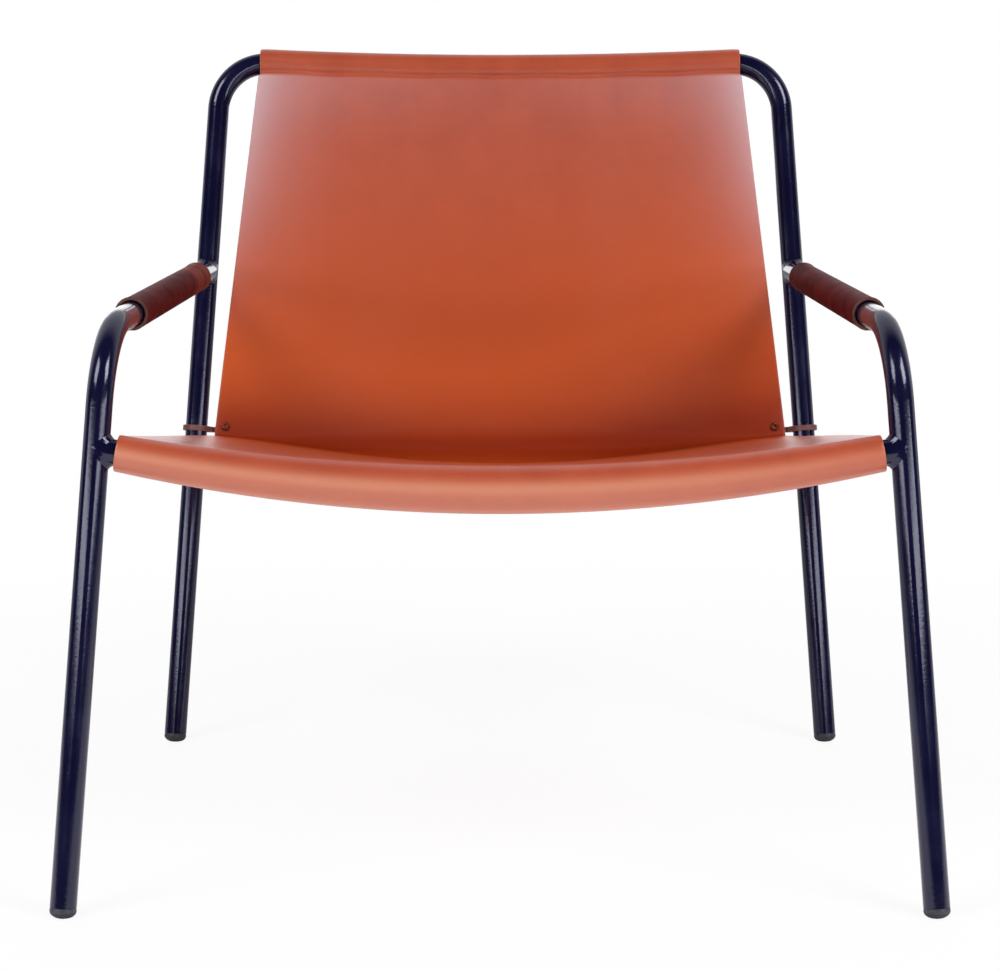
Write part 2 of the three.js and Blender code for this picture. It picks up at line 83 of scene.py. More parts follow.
# Foot glides
GLIDE_CAP_HEIGHT = 0.008
GLIDE_DOME_HEIGHT = 0.005
GLIDE_WORN_DEPTH = 0.0015
GLIDE_STEM_LENGTH = 0.018
GLIDE_LIP_HEIGHT = 0.0008
GLIDE_LIP_GROOVE = 0.0003

# Sling
LEATHER = 0.0035
POCKET_CLEARANCE = 0.0006
FRONT_POCKET_SLACK = 0.005
FRONT_TUCK = 0.0008
TOP_TUCK = 0.004
TUCK_WANDER = 0.0008
TUCK_WANDER_RATE = 9.0
TUCK_RADIUS = 0.008
FLAP_WRAP = math.radians(20)
FLAP_SEAM_START = 0.070
FLAP_SEAM_WIDTH = 0.025
FRONT_REVEAL = 0.006
TIE_REVEAL = 0.0084
TOP_OVERLAP = 0.008
FOLD_HEIGHT = 0.302
FOLD_SAG = 0.0316
FOLD_SAG_POWER = 1.5
FOLD_BOW = 0.026
FOLD_EDGE_RADIUS = 0.005
FOLD_MIDDLE_RADIUS = 0.060
PANEL_WAVE = 0.0007
PANEL_WAVE_ACROSS = 7.3
PANEL_WAVE_ALONG = 2.1
PANEL_RIPPLE = 0.6
PANEL_RIPPLE_ACROSS = 13.1
PANEL_RIPPLE_ALONG = -3.7
SEAT_WAVE_PHASE = 0.4
BACK_WAVE_PHASE = 1.7
# Painted bounce light and shade low on the back, and painted shade in the fold
WEAR_AND_SHADE_MIDDLE = 0.6
BOUNCE_SHADE_REACH = 0.365
BOUNCE_SHADE_FULL = 0.29
FOLD_SHADE_REACH = 0.045
# A pale tone round the front rail: partly stretched leather, partly a painted highlight along the roll, faded
# towards the right as painted shade
STRETCH_HIGHLIGHT_PLACE = math.radians(96)
STRETCH_HIGHLIGHT_SPREAD = math.radians(17)
STRETCH_HIGHLIGHT_REST = 0.42
LESS_HIGHLIGHT_RIGHT = 0.55
# Painted shade on the lower right of the back
PAINTED_SHADE_RIGHT = 0.22
PAINTED_SHADE_PLACE = 0.12
PAINTED_SHADE_SPREAD = 0.12
# A pale painted sheen at the back's side edges and below the top rail
PAINTED_SHEEN_OVERALL = 0.035
PAINTED_SHEEN_AT_EDGE = 0.52
PAINTED_SHEEN_REACH = 0.026
PAINTED_SHEEN_START = 0.2
PAINTED_SHEEN_FULL = 0.9
PAINTED_SHEEN_AT_TOP = 0.13
PAINTED_SHEEN_TOP_MIDDLE = 0.25
PAINTED_SHEEN_TOP_START = 0.76
EDGE_CURL = 0.0012
EDGE_CURL_REACH = 0.020
EDGE_CURL_FADE = 0.15
EDGE_CROWDING = 0.6
LEATHER_EDGE_ROUND = 0.0006
LEATHER_EDGE_ANGLE = math.radians(50)

# Arm sleeves
SLEEVE_LEATHER = 0.003
SLEEVE_FRONT_REVEAL = 0.052
SLEEVE_REAR_REVEAL = 0.068
SLEEVE_SEAM_GAP = 0.001
SLEEVE_FLARE = 0.0008
SLEEVE_FLARE_LENGTH = 0.007
SLEEVE_FLARE_LEVEL = 0.6
SLEEVE_FLARE_SWAY = 0.4
SLEEVE_CREASES = ((0.085, 0.0007), (0.038, 0.0005), (0.030, 0.0003))
SLEEVE_CREASE_WIDTH = 0.0025
SLEEVE_CREASE_SKEW = 0.004
SLEEVE_RUBBED = 0.55
SLEEVE_RUBBED_FADE = 0.012

# Ties at the sling's fold
TIE_RISE = 0.009
STRAP_WIDTH = 0.0055
STRAP_THICKNESS = 0.0025
STRAP_ROUND = 0.0006
STRAP_TAIL = 0.0065
STRAP_SLACK = 0.0009
STRAP_BEND_RADIUS = 0.003
RIVET_INSET = 0.011
RIVET_RISE = 0.0125
RIVET_HEAD_RADIUS = 0.00425
RIVET_HEAD_HEIGHT = 0.002
RIVET_RIM_RADIUS = 0.0032
RIVET_CUP_RADIUS = 0.0023
RIVET_CUP_FLOOR_RADIUS = 0.00184
RIVET_CUP_DEPTH = 0.0014
RIVET_SHANK_RADIUS = 0.002
RIVET_TAIL_RADIUS = 0.003
RIVET_TAIL_HEIGHT = 0.001
RIVET_SOFTENING = 0.0002
BURR_RADIUS = 0.0045
BURR_THICKNESS = 0.0012

# Stitches
THREAD_RADIUS = 0.00045
FLAP_STITCH_LENGTH = 0.0042
FLAP_STITCH_SPACING = 0.0056
FLAP_STITCH_INSET_COLUMNS = 2
SLEEVE_STITCH_LENGTH = 0.0056
SLEEVE_STITCH_SPACING = 0.006
SLEEVE_STITCH_SLANT = math.radians(52)
SLEEVE_STITCH_INSET = 0.006

# How finely round stretches are cut
TUBE_SIDES = 40
BEND_STEPS = 28
RAIL_STEPS = 48
WELD_STEPS = 132
WELD_FACE_STEPS = 6
GLIDE_SIDES = 48
DOME_STEPS = 14
SLING_COLUMNS = 96
LOOP_STEPS = 40
TUCK_STEPS = 6
FLAP_STEPS = 14
SEAM_STEPS = 4
PANEL_STEPS = 26
FOLD_STEPS = 22
SLEEVE_SIDES = 48
SLEEVE_STEPS = 120
STRAP_WRAP_STEPS = 40
STRAP_BEND_STEPS = 14
STRAP_CORNER_STEPS = 3
RIVET_SIDES = 32
STITCH_SIDES = 8
STITCH_RINGS = 6
EDGE_ROUND_STEPS = 2
SHARP_ANGLE = math.radians(38)
MERGE_DISTANCE = 1e-7
END_TOLERANCE = 1e-5
FRONT_LOOP_START = SEAM_STEPS + FLAP_STEPS
FOLD_START = FRONT_LOOP_START + LOOP_STEPS + TUCK_STEPS + PANEL_STEPS
FOLD_MIDDLE = FOLD_START + FOLD_STEPS // 2
BACK_START = FOLD_START + FOLD_STEPS
BACK_END = BACK_START + PANEL_STEPS

# Surface patterns. A noise mostly lies within NOISE_RANGE.
NOISE_RANGE = (0.3, 0.7)
PORE_RANGE = (0.05, 0.55)
PORE_FLOOR_RANGE = (0.0, 0.5)
PORE_HEIGHT = 0.4
PORE_SHARE = 0.22
PORE_DARKNESS = 0.62
CREASE_SCALE = 0.22
STREAK_STRETCH = (1.0, 0.16, 1.0)
STREAK_SHARE = 0.6
SMUDGE_RANGE = (0.42, 0.68)
SCUFF_RANGE = (0.6, 0.75)
SCUFF_STRETCH = (1.0, 1.0, 0.12)
SCUFF_SCALE = 9.0
FIBRE_STRETCH = (1.0, 0.45, 1.0)
FIBRE_SHARE = 0.6
PATCH_SCALE = 0.02
PATCH_SHARE = 0.5
FLESH_RANGE = (0.25, 0.85)
FLESH_ROUGHNESS = (0.72, 0.9)
COAT_ROUGHNESS = (0.12, 0.17)
COAT_SCUFFING = 0.05
PLASTIC_ROUGHNESS = (0.42, 0.6)
THREAD_ROUGHNESS = (0.45, 0.6)
COPPER_ROUGHNESS = (0.54, 0.44)
ROUGHNESS_SPREAD = 0.02

# Tones, in pairs of deep and light
COAT_TONES = ((0.0030, 0.0025, 0.0190, 1.0), (0.0055, 0.0050, 0.0260, 1.0))
PLASTIC_TONES = ((0.030, 0.029, 0.040, 1.0), (0.080, 0.078, 0.085, 1.0))
THREAD_TONES = ((0.030, 0.014, 0.010, 1.0), (0.085, 0.040, 0.025, 1.0))
COPPER_TONES = ((0.14, 0.028, 0.012, 1.0), (0.30, 0.085, 0.040, 1.0))
SLING_FLESH_TONES = ((0.30, 0.085, 0.030, 1.0), (0.46, 0.17, 0.075, 1.0))
SLING_EDGE_TONES = ((0.34, 0.10, 0.040, 1.0), (0.56, 0.24, 0.13, 1.0))
SLEEVE_FLESH_TONES = ((0.06, 0.018, 0.012, 1.0), (0.13, 0.045, 0.03, 1.0))
SLEEVE_EDGE_TONES = ((0.07, 0.02, 0.016, 1.0), (0.15, 0.06, 0.045, 1.0))

# Tones of the coat's reflections and of the painted sheen on the leather
COAT_REFLECTION = (0.82, 0.83, 1.0, 1.0)
PAINTED_SHEEN = (0.62, 0.50, 0.55, 1.0)

# Tones of stretched leather with a painted highlight, deep, light, painted bounce light and shade (rubbed
# leather on the sleeves), and painted shade in creases
SLING_TONES = (
    (0.520, 0.190, 0.112, 1.0),
    (0.345, 0.056, 0.023, 1.0),
    (0.420, 0.077, 0.034, 1.0),
    (0.525, 0.083, 0.016, 1.0),
    (0.250, 0.020, 0.001, 1.0),
)
SLEEVE_TONES = (
    (0.230, 0.050, 0.020, 1.0),
    (0.042, 0.002, 0.003, 1.0),
    (0.104, 0.007, 0.009, 1.0),
    (0.170, 0.030, 0.020, 1.0),
    (0.040, 0.003, 0.003, 1.0),
)
THONG_TONES = (
    (0.170, 0.060, 0.050, 1.0),
    (0.100, 0.030, 0.025, 1.0),
    (0.170, 0.060, 0.050, 1.0),
    (0.100, 0.030, 0.025, 1.0),
    (0.100, 0.030, 0.025, 1.0),
)

# Camera, fitted to the photograph
CAMERA_LENS = 87.84
CAMERA_SENSOR = 36
CAMERA_SETBACK = 1.8915
CAMERA_HEIGHT = 0.6992
CAMERA_PITCH = math.radians(10.248)

# Floor and backdrop
FLOOR_REACH = 8.0
FLOOR_SHADOW_SHARE = 0.10
FLOOR_SHADOW_START = 0.5
FLOOR_SHADOW_END = 1.2
WHITE = (1.0, 1.0, 1.0, 1.0)
FLOOR_SEEN_TONE = (0.9, 0.9, 0.9, 1.0)
FLOOR_LIT_TONE = (0.8, 0.8, 0.8, 1.0)
ROOM_TONE = (0.042, 0.043, 0.060, 1.0)
BACKDROP_TONE = (0.9, 0.9, 0.95, 1.0)
BACKDROP_START = 0.1
BACKDROP_FULL = 0.45

# The two sides with their signs, and the range of a share
SIDES = (("right", 1), ("left", -1))
SHARE = (0.0, 1.0)

scene = bpy.context.scene
rail_low, rail_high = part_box("front_rail")
FRONT_FOOT_Y = (rail_low.y + rail_high.y) / 2 - math.tan(FRONT_LEG_RAKE) * FRONT_RAIL_HEIGHT


# Shader building blocks

def set_inputs(tree, node, inputs):
    """Values or links for a node's inputs."""
    for socket, value in inputs.items():
        if isinstance(value, bpy.types.NodeSocket):
            tree.links.new(value, node.inputs[socket])
        else:
            node.inputs[socket].default_value = value


def add_node(tree, kind, inputs=None, **settings):
    """A shader or geometry node with its settings and inputs."""
    node = tree.nodes.new(kind)
    for name, value in settings.items():
        setattr(node, name, value)
    set_inputs(tree, node, inputs or {})
    return node


def calc(tree, operation, first, second):
    return add_node(tree, "ShaderNodeMath", {0: first, 1: second}, operation=operation).outputs[0]


def remap(tree, value, old, new=SHARE):
    """A value taken from one range to another, held at the ends."""
    inputs = {"Value": value, "From Min": old[0], "From Max": old[1], "To Min": new[0], "To Max": new[1]}
    return add_node(tree, "ShaderNodeMapRange", inputs).outputs["Result"]


def blend(tree, factor, first, second):
    """A colour between two others. In the Mix node the colours are sockets 6 and 7, and the result is 2."""
    inputs = {0: factor, 6: first, 7: second}
    return add_node(tree, "ShaderNodeMix", inputs, data_type="RGBA").outputs[2]


def noise(tree, vector, scale, detail=2.0, roughness=0.5):
    inputs = {"Vector": vector, "Scale": scale, "Detail": detail, "Roughness": roughness}
    return add_node(tree, "ShaderNodeTexNoise", inputs).outputs["Fac"]


def stretched(tree, vector, scale):
    return add_node(tree, "ShaderNodeMapping", {"Vector": vector, "Scale": scale}).outputs["Vector"]


def bump(tree, height, distance, strength=1.0, under=None):
    inputs = {"Height": height, "Distance": distance, "Strength": strength}
    if under is not None:
        inputs["Normal"] = under
    return add_node(tree, "ShaderNodeBump", inputs).outputs["Normal"]


def coordinates(tree, kind):
    return add_node(tree, "ShaderNodeTexCoord").outputs[kind]


def attribute(tree, name):
    return add_node(tree, "ShaderNodeAttribute", attribute_name=name).outputs["Fac"]


def new_group(name, sizes, outputs):
    """An empty shader group for a pattern: its tree, what it is given, and the node for what it puts out."""
    tree = bpy.data.node_groups.new(name, "ShaderNodeTree")
    tree.interface.new_socket("Vector", in_out="INPUT", socket_type="NodeSocketVector")
    for label in sizes:
        tree.interface.new_socket(label, in_out="INPUT", socket_type="NodeSocketFloat")
    for label in outputs:
        tree.interface.new_socket(label, in_out="OUTPUT", socket_type="NodeSocketFloat")
    return tree, tree.nodes.new("NodeGroupInput").outputs, tree.nodes.new("NodeGroupOutput")


def use_group(tree, group, inputs):
    return add_node(tree, "ShaderNodeGroup", inputs, node_tree=group).outputs


def new_material(name):
    material = bpy.data.materials.new(name)
    material.use_nodes = True
    return material, material.node_tree


def finish_material(material, inputs):
    tree = material.node_tree
    set_inputs(tree, tree.nodes["Principled BSDF"], inputs)
    return material


# Effects that several materials share

def hide_grain_group():
    """Pores, creases and colour of smooth leather, for sizes in metres."""
    tree, given, made = new_group(
        "hide grain", ["Pore Size", "Mottle Size"], ["Height", "Tone", "Pores", "Streaks"]
    )
    place = given["Vector"]
    pore_scale = calc(tree, "DIVIDE", 1.0, given["Pore Size"])
    mottle_scale = calc(tree, "DIVIDE", 1.0, given["Mottle Size"])
    cell_inputs = {"Vector": place, "Scale": pore_scale, "Randomness": 1.0}
    cells = add_node(tree, "ShaderNodeTexVoronoi", cell_inputs, feature="SMOOTH_F1")
    pores = remap(tree, cells.outputs["Distance"], PORE_RANGE)
    crease_scale = calc(tree, "MULTIPLY", pore_scale, CREASE_SCALE)
    creases = noise(tree, place, crease_scale, detail=5.0, roughness=0.62)
    long_ways = stretched(tree, place, STREAK_STRETCH)
    results = {
        "Height": calc(tree, "ADD", calc(tree, "MULTIPLY", pores, PORE_HEIGHT), creases),
        "Tone": noise(tree, place, mottle_scale, detail=4.0, roughness=0.6),
        "Pores": pores,
        "Streaks": noise(tree, long_ways, mottle_scale, detail=3.0, roughness=0.6),
    }
    set_inputs(tree, made, results)
    return tree


def handling_group():
    """Masks of smudges and scuffs where hands and cloths have been."""
    tree, given, made = new_group("handling marks", ["Size"], ["Smudges", "Scuffs"])
    place = given["Vector"]
    scale = calc(tree, "DIVIDE", 1.0, given["Size"])
    broad = noise(tree, place, scale, detail=3.0, roughness=0.55)
    long_ways = stretched(tree, place, SCUFF_STRETCH)
    fine = noise(tree, long_ways, calc(tree, "MULTIPLY", scale, SCUFF_SCALE))
    results = {"Smudges": remap(tree, broad, SMUDGE_RANGE), "Scuffs": remap(tree, fine, SCUFF_RANGE)}
    set_inputs(tree, made, results)
    return tree


def fibre_group():
    """Short loose fibres, as on the flesh side and the cut edges of leather."""
    tree, given, made = new_group("fibre nap", ["Fibre Size"], ["Height", "Tone"])
    place = given["Vector"]
    scale = calc(tree, "DIVIDE", 1.0, given["Fibre Size"])
    long_ways = stretched(tree, place, FIBRE_STRETCH)
    patches = noise(tree, place, calc(tree, "MULTIPLY", scale, PATCH_SCALE), detail=3.0, roughness=0.6)
    results = {
        "Height": noise(tree, long_ways, scale, detail=4.0, roughness=0.7),
        "Tone": remap(tree, patches, NOISE_RANGE),
    }
    set_inputs(tree, made, results)
    return tree


hide_grain = hide_grain_group()
handling_marks = handling_group()
fibre_nap = fibre_group()


# Materials

def black_coat():
    """Gloss black powder coat with a faint orange peel."""
    material, tree = new_material("black gloss coat")
    place = coordinates(tree, "Object")
    marks = use_group(tree, handling_marks, {"Vector": place, "Size": 0.05})
    smudged = remap(tree, marks["Smudges"], SHARE, COAT_ROUGHNESS)
    scuffed = calc(tree, "MULTIPLY", marks["Scuffs"], COAT_SCUFFING)
    inputs = {
        "IOR": 1.5,
        "Specular Tint": COAT_REFLECTION,
        "Base Color": blend(tree, marks["Smudges"], *COAT_TONES),
        "Roughness": calc(tree, "ADD", smudged, scuffed),
        "Normal": bump(tree, noise(tree, place, scale=420.0), distance=0.00006),
    }
    return finish_material(material, inputs)


def glide_plastic():
    """Moulded black plastic, dulled by the floor."""
    material, tree = new_material("glide plastic")
    place = coordinates(tree, "Object")
    marks = use_group(tree, handling_marks, {"Vector": place, "Size": 0.008})
    inputs = {
        "IOR": 1.46,
        "Base Color": blend(tree, marks["Scuffs"], *PLASTIC_TONES),
        "Roughness": remap(tree, marks["Smudges"], SHARE, PLASTIC_ROUGHNESS),
        "Normal": bump(tree, noise(tree, place, scale=2600.0), distance=0.00004),
    }
    return finish_material(material, inputs)


def saddle_leather(name, coordinate, tones, pore_size, mottle_size, mottle_range, roughness, gloss):
    """Smooth leather: mottled colour, darker pores and fine creases.

    The piece's attribute of painted light runs from stretched leather with a painted highlight at -1 over new
    leather at 0 and painted bounce light and shade (rubbed leather on a sleeve), at its middle level, to
    painted shade in creases and folds at 1. Its sheen attribute is the share of a pale painted sheen."""
    stretch_highlight_tone, deep, light, wear_and_bounce, crease_shade = tones
    material, tree = new_material(name)
    place = coordinates(tree, coordinate)
    grain = use_group(tree, hide_grain, {"Vector": place, "Pore Size": pore_size, "Mottle Size": mottle_size})
    cloudy = calc(tree, "ADD", grain["Tone"], calc(tree, "MULTIPLY", grain["Streaks"], STREAK_SHARE))
    colour = blend(tree, remap(tree, cloudy, mottle_range), deep, light)
    # Mixes in painted highlight, painted bounce light and painted shade, and rubbed leather on the sleeves
    wear_and_shade = attribute(tree, "wear_and_shade")
    for wear_and_shade_range, tone in (
        ((0.0, -1.0), stretch_highlight_tone),
        ((0.0, WEAR_AND_SHADE_MIDDLE), wear_and_bounce),
        ((WEAR_AND_SHADE_MIDDLE, 1.0), crease_shade),
    ):
        colour = blend(tree, remap(tree, wear_and_shade, wear_and_shade_range), colour, tone)
    # A pale painted sheen
    colour = blend(tree, attribute(tree, "painted_sheen"), colour, PAINTED_SHEEN)
    in_pores = tuple(PORE_DARKNESS * part for part in deep[:3]) + (1.0,)
    pored = remap(tree, grain["Pores"], PORE_FLOOR_RANGE, (PORE_SHARE, 0.0))
    rubbed = (roughness + ROUGHNESS_SPREAD, roughness - ROUGHNESS_SPREAD)
    streaked = bump(tree, grain["Streaks"], distance=0.0012, strength=0.3)
    inputs = {
        "IOR": 1.5,
        "Specular IOR Level": gloss,
        "Base Color": blend(tree, pored, colour, in_pores),
        "Roughness": remap(tree, grain["Tone"], NOISE_RANGE, rubbed),
        "Normal": bump(tree, grain["Height"], distance=0.00012, strength=0.35, under=streaked),
    }
    return finish_material(material, inputs)


def rough_leather(name, coordinate, tones, fibre_size):
    """The flesh side or a cut edge, with loose fibres."""
    material, tree = new_material(name)
    place = coordinates(tree, coordinate)
    nap = use_group(tree, fibre_nap, {"Vector": place, "Fibre Size": fibre_size})
    patches = calc(tree, "MULTIPLY", nap["Tone"], PATCH_SHARE)
    tone = calc(tree, "ADD", patches, calc(tree, "MULTIPLY", nap["Height"], FIBRE_SHARE))
    inputs = {
        "IOR": 1.4,
        "Base Color": blend(tree, remap(tree, tone, FLESH_RANGE), *tones),
        "Roughness": remap(tree, nap["Height"], NOISE_RANGE, FLESH_ROUGHNESS),
        "Normal": bump(tree, nap["Height"], distance=0.00025, strength=0.8),
    }
    return finish_material(material, inputs)


def waxed_thread():
    """Twisted thread."""
    material, tree = new_material("waxed thread")
    waves = {"Vector": coordinates(tree, "Object"), "Scale": 420.0, "Distortion": 1.5}
    twist = add_node(tree, "ShaderNodeTexWave", waves, bands_direction="DIAGONAL").outputs["Fac"]
    inputs = {
        "IOR": 1.45,
        "Base Color": blend(tree, twist, *THREAD_TONES),
        "Roughness": remap(tree, twist, SHARE, THREAD_ROUGHNESS),
        "Normal": bump(tree, twist, distance=0.0001),
    }
    return finish_material(material, inputs)


def aged_copper():
    """Copper that has darkened, brighter where it is rubbed."""
    material, tree = new_material("aged copper")
    place = coordinates(tree, "Object")
    marks = use_group(tree, handling_marks, {"Vector": place, "Size": 0.003})
    pits = noise(tree, place, scale=1800.0, detail=3.0)
    inputs = {
        "Metallic": 1.0,
        "Base Color": blend(tree, marks["Smudges"], *COPPER_TONES),
        "Roughness": remap(tree, marks["Smudges"], SHARE, COPPER_ROUGHNESS),
        "Normal": bump(tree, pits, distance=0.00005),
    }
    return finish_material(material, inputs)


coat = black_coat()
plastic = glide_plastic()
sling_face = saddle_leather(
    "sling leather",
    "UV",
    SLING_TONES,
    pore_size=0.0008,
    mottle_size=0.045,
    mottle_range=(0.50, 1.10),
    roughness=0.31,
    gloss=0.5,
)
sleeve_face = saddle_leather(
    "sleeve leather",
    "UV",
    SLEEVE_TONES,
    pore_size=0.0009,
    mottle_size=0.024,
    mottle_range=(0.62, 1.00),
    roughness=0.62,
    gloss=0.05,
)
thong_leather = saddle_leather(
    "thong leather",
    "Object",
    THONG_TONES,
    pore_size=0.0006,
    mottle_size=0.02,
    mottle_range=(0.55, 1.05),
    roughness=0.45,
    gloss=0.4,
)
sling_flesh = rough_leather("sling flesh side", "UV", SLING_FLESH_TONES, fibre_size=0.0007)
cut_edge = rough_leather("cut leather edge", "Object", SLING_EDGE_TONES, fibre_size=0.0005)
sleeve_flesh = rough_leather("sleeve flesh side", "UV", SLEEVE_FLESH_TONES, fibre_size=0.0006)
sleeve_edge = rough_leather("sleeve cut edge", "Object", SLEEVE_EDGE_TONES, fibre_size=0.0005)
thread = waxed_thread()
copper = aged_copper()


# Mesh building blocks

def lerp(first, second, share):
    return first + (second - first) * share


def curve_at(handles, share):
    """A point on the smooth curve that a row of handles draws."""
    while len(handles) > 1:
        handles = [lerp(first, second, share) for first, second in zip(handles, handles[1:])]
    return handles[0]


def on_side(vector, side):
    return Vector((side * vector.x, vector.y, vector.z))


def mirrored(points):
    return [on_side(point, -1) for point in points]


def around(axis, steps):
    """Even angles round an axis, each with its direction outwards."""
    across = axis.orthogonal().normalized()
    beside = axis.cross(across)
    angles = [2 * math.pi * step / steps for step in range(steps)]
    return [(angle, across * math.cos(angle) + beside * math.sin(angle)) for angle in angles]


def new_piece(name, points, faces, materials, closed=True):
    """A smooth mesh object. Faces of a closed body are turned outwards."""
    mesh = bpy.data.meshes.new(name)
    mesh.from_pydata([tuple(p) for p in points], [], faces)
    if closed:
        tidy = bmesh.new()
        tidy.from_mesh(mesh)
        bmesh.ops.remove_doubles(tidy, verts=tidy.verts, dist=MERGE_DISTANCE)
        bmesh.ops.recalc_face_normals(tidy, faces=tidy.faces)
        tidy.to_mesh(mesh)
        tidy.free()
    for material in materials:
        mesh.materials.append(material)
    mesh.shade_smooth()
    mesh.set_sharp_from_angle(angle=SHARP_ANGLE)
    piece = bpy.data.objects.new(name, mesh)
    scene.collection.objects.link(piece)
    return piece


def ring_faces(ring_count, ring_size, ring_closed=True, path_closed=False):
    """Quads between neighbouring rings of points."""
    faces = []
    for ring in range(ring_count if path_closed else ring_count - 1):
        here = ring * ring_size
        there = (ring + 1) % ring_count * ring_size
        for side in range(ring_size if ring_closed else ring_size - 1):
            beside = (side + 1) % ring_size
            faces.append((here + side, here + beside, there + beside, there + side))
    return faces


def turned(name, profile, centre, axis, sides, material):
    """A turned piece: pairs of radius and place along the axis."""
    points = []
    for radius, along in profile:
        for _, out in around(axis, sides):
            points.append(centre + axis * along + out * radius)
    return new_piece(name, points, ring_faces(len(profile), sides), [material])


def bend(corner, arriving, leaving, radius, steps=BEND_STEPS):
    """Stations round a bend at a corner between two directions."""
    turn = arriving.angle(leaving)
    start = corner - arriving * radius * math.tan(turn / 2)
    inward = (leaving - arriving * math.cos(turn)).normalized()
    centre = start + inward * radius
    stations = []
    for step in range(steps + 1):
        angle = turn * step / steps
        stations.append(centre - inward * radius * math.cos(angle) + arriving * radius * math.sin(angle))
    return stations


def finish_piece(piece, slot, *nodes):
    """A piece rides on the one body. Most pieces stand for a node of the part."""
    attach(piece, "root")
    if nodes:
        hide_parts(*nodes)
    return piece


# Geometry node trees

def geometry_tree(name, inputs):
    """An empty geometry tree, with the kind of each of its inputs."""
    tree = bpy.data.node_groups.new(name, "GeometryNodeTree")
    for label, kind in inputs.items():
        tree.interface.new_socket(label, in_out="INPUT", socket_type=f"NodeSocket{kind}")
    tree.interface.new_socket("Made", in_out="OUTPUT", socket_type="NodeSocketGeometry")
    return tree, tree.nodes.new("NodeGroupInput").outputs


def end_tree(tree, geometry, material):
    """Every tree ends in real, smooth faces with their material."""
    smooth = add_node(tree, "GeometryNodeSetShadeSmooth", {"Geometry": geometry})
    real = add_node(tree, "GeometryNodeRealizeInstances", {"Geometry": smooth.outputs["Geometry"]})
    paint = {"Geometry": real.outputs["Geometry"], "Material": material}
    painted = add_node(tree, "GeometryNodeSetMaterial", paint)
    result = tree.nodes.new("NodeGroupOutput")
    tree.links.new(painted.outputs["Geometry"], result.inputs["Made"])


def tube_tree():
    """A round tube along a path."""
    tree, given = geometry_tree(
        "bent tube", {"Path": "Geometry", "Radius": "Float", "Sides": "Int", "Material": "Material"}
    )
    path = add_node(tree, "GeometryNodeMeshToCurve", {"Mesh": given["Path"]})
    circle = {"Resolution": given["Sides"], "Radius": given["Radius"]}
    section = add_node(tree, "GeometryNodeCurvePrimitiveCircle", circle)
    swept = {"Curve": path.outputs["Curve"], "Profile Curve": section.outputs["Curve"], "Fill Caps": True}
    tube = add_node(tree, "GeometryNodeCurveToMesh", swept)
    end_tree(tree, tube.outputs["Mesh"], given["Material"])
    return tree


def stitch_tree():
    """Stitches at an even spacing along a path, slanted in the surface that they lie on."""
    tree, given = geometry_tree(
        "stitch row",
        {
            "Path": "Geometry",
            "Spacing": "Float",
            "Length": "Float",
            "Thread Radius": "Float",
            "Slant": "Float",
            "Facing": "Vector",
            "Material": "Material",
        },
    )
    path = add_node(tree, "GeometryNodeMeshToCurve", {"Mesh": given["Path"]})
    spaced = {"Curve": path.outputs["Curve"], "Length": given["Spacing"]}
    row = add_node(tree, "GeometryNodeResampleCurve", spaced, mode="LENGTH")
    tangent = tree.nodes.new("GeometryNodeInputTangent").outputs["Tangent"]
    slant = {"Vector": tangent, "Axis": given["Facing"], "Angle": given["Slant"]}
    slanted = add_node(tree, "ShaderNodeVectorRotate", slant, rotation_type="AXIS_ANGLE")
    along = {"Vector": slanted.outputs["Vector"]}
    turn = add_node(tree, "FunctionNodeAlignRotationToVector", along, axis="X")
    ball = {"Segments": STITCH_SIDES, "Rings": STITCH_RINGS, "Radius": 1.0}
    bead = add_node(tree, "GeometryNodeMeshUVSphere", ball)
    radius = given["Thread Radius"]
    half_sizes = {"X": calc(tree, "MULTIPLY", given["Length"], 0.5), "Y": radius, "Z": radius}
    size = add_node(tree, "ShaderNodeCombineXYZ", half_sizes)
    shaped = {"Geometry": bead.outputs["Mesh"], "Scale": size.outputs["Vector"]}
    stitch = add_node(tree, "GeometryNodeTransform", shaped)
    places = {
        "Points": row.outputs["Curve"],
        "Instance": stitch.outputs["Geometry"],
        "Rotation": turn.outputs["Rotation"],
    }
    placed = add_node(tree, "GeometryNodeInstanceOnPoints", places)
    end_tree(tree, placed.outputs["Instances"], given["Material"])
    return tree


def grow(name, tree, paths, inputs):
    """Paths run through a geometry tree, as one plain mesh object."""
    points = []
    edges = []
    for path in paths:
        first = len(points)
        points.extend(tuple(p) for p in path)
        edges.extend((i, i + 1) for i in range(first, len(points) - 1))
    seed = bpy.data.meshes.new(name)
    seed.from_pydata(points, edges, [])
    piece = bpy.data.objects.new(name, seed)
    scene.collection.objects.link(piece)
    modifier = piece.modifiers.new(name, "NODES")
    modifier.node_group = tree
    for item in tree.interface.items_tree:
        if item.in_out == "INPUT" and item.name in inputs:
            modifier[item.identifier] = inputs[item.name]
    evaluated = piece.evaluated_get(bpy.context.evaluated_depsgraph_get())
    made = bpy.data.meshes.new_from_object(evaluated)
    made.set_sharp_from_angle(angle=SHARP_ANGLE)
    piece.modifiers.clear()
    piece.data = made
    return piece


tube_nodes = tube_tree()
stitch_nodes = stitch_tree()


def bent_tube(name, stations):
    return grow(name, tube_nodes, [stations], {"Radius": TUBE_RADIUS, "Sides": TUBE_SIDES, "Material": coat})


def stitch_rows(name, paths, slot, spacing, length, facing, slant=0.0):
    """Rows of stitches along paths on leather that faces a given way."""
    inputs = {
        "Spacing": spacing,
        "Length": length,
        "Thread Radius": THREAD_RADIUS,
        "Slant": slant,
        "Facing": facing,
        "Material": thread,
    }
    return finish_piece(grow(name, stitch_nodes, paths, inputs), slot)


# Frame lines on the right-hand side, by height

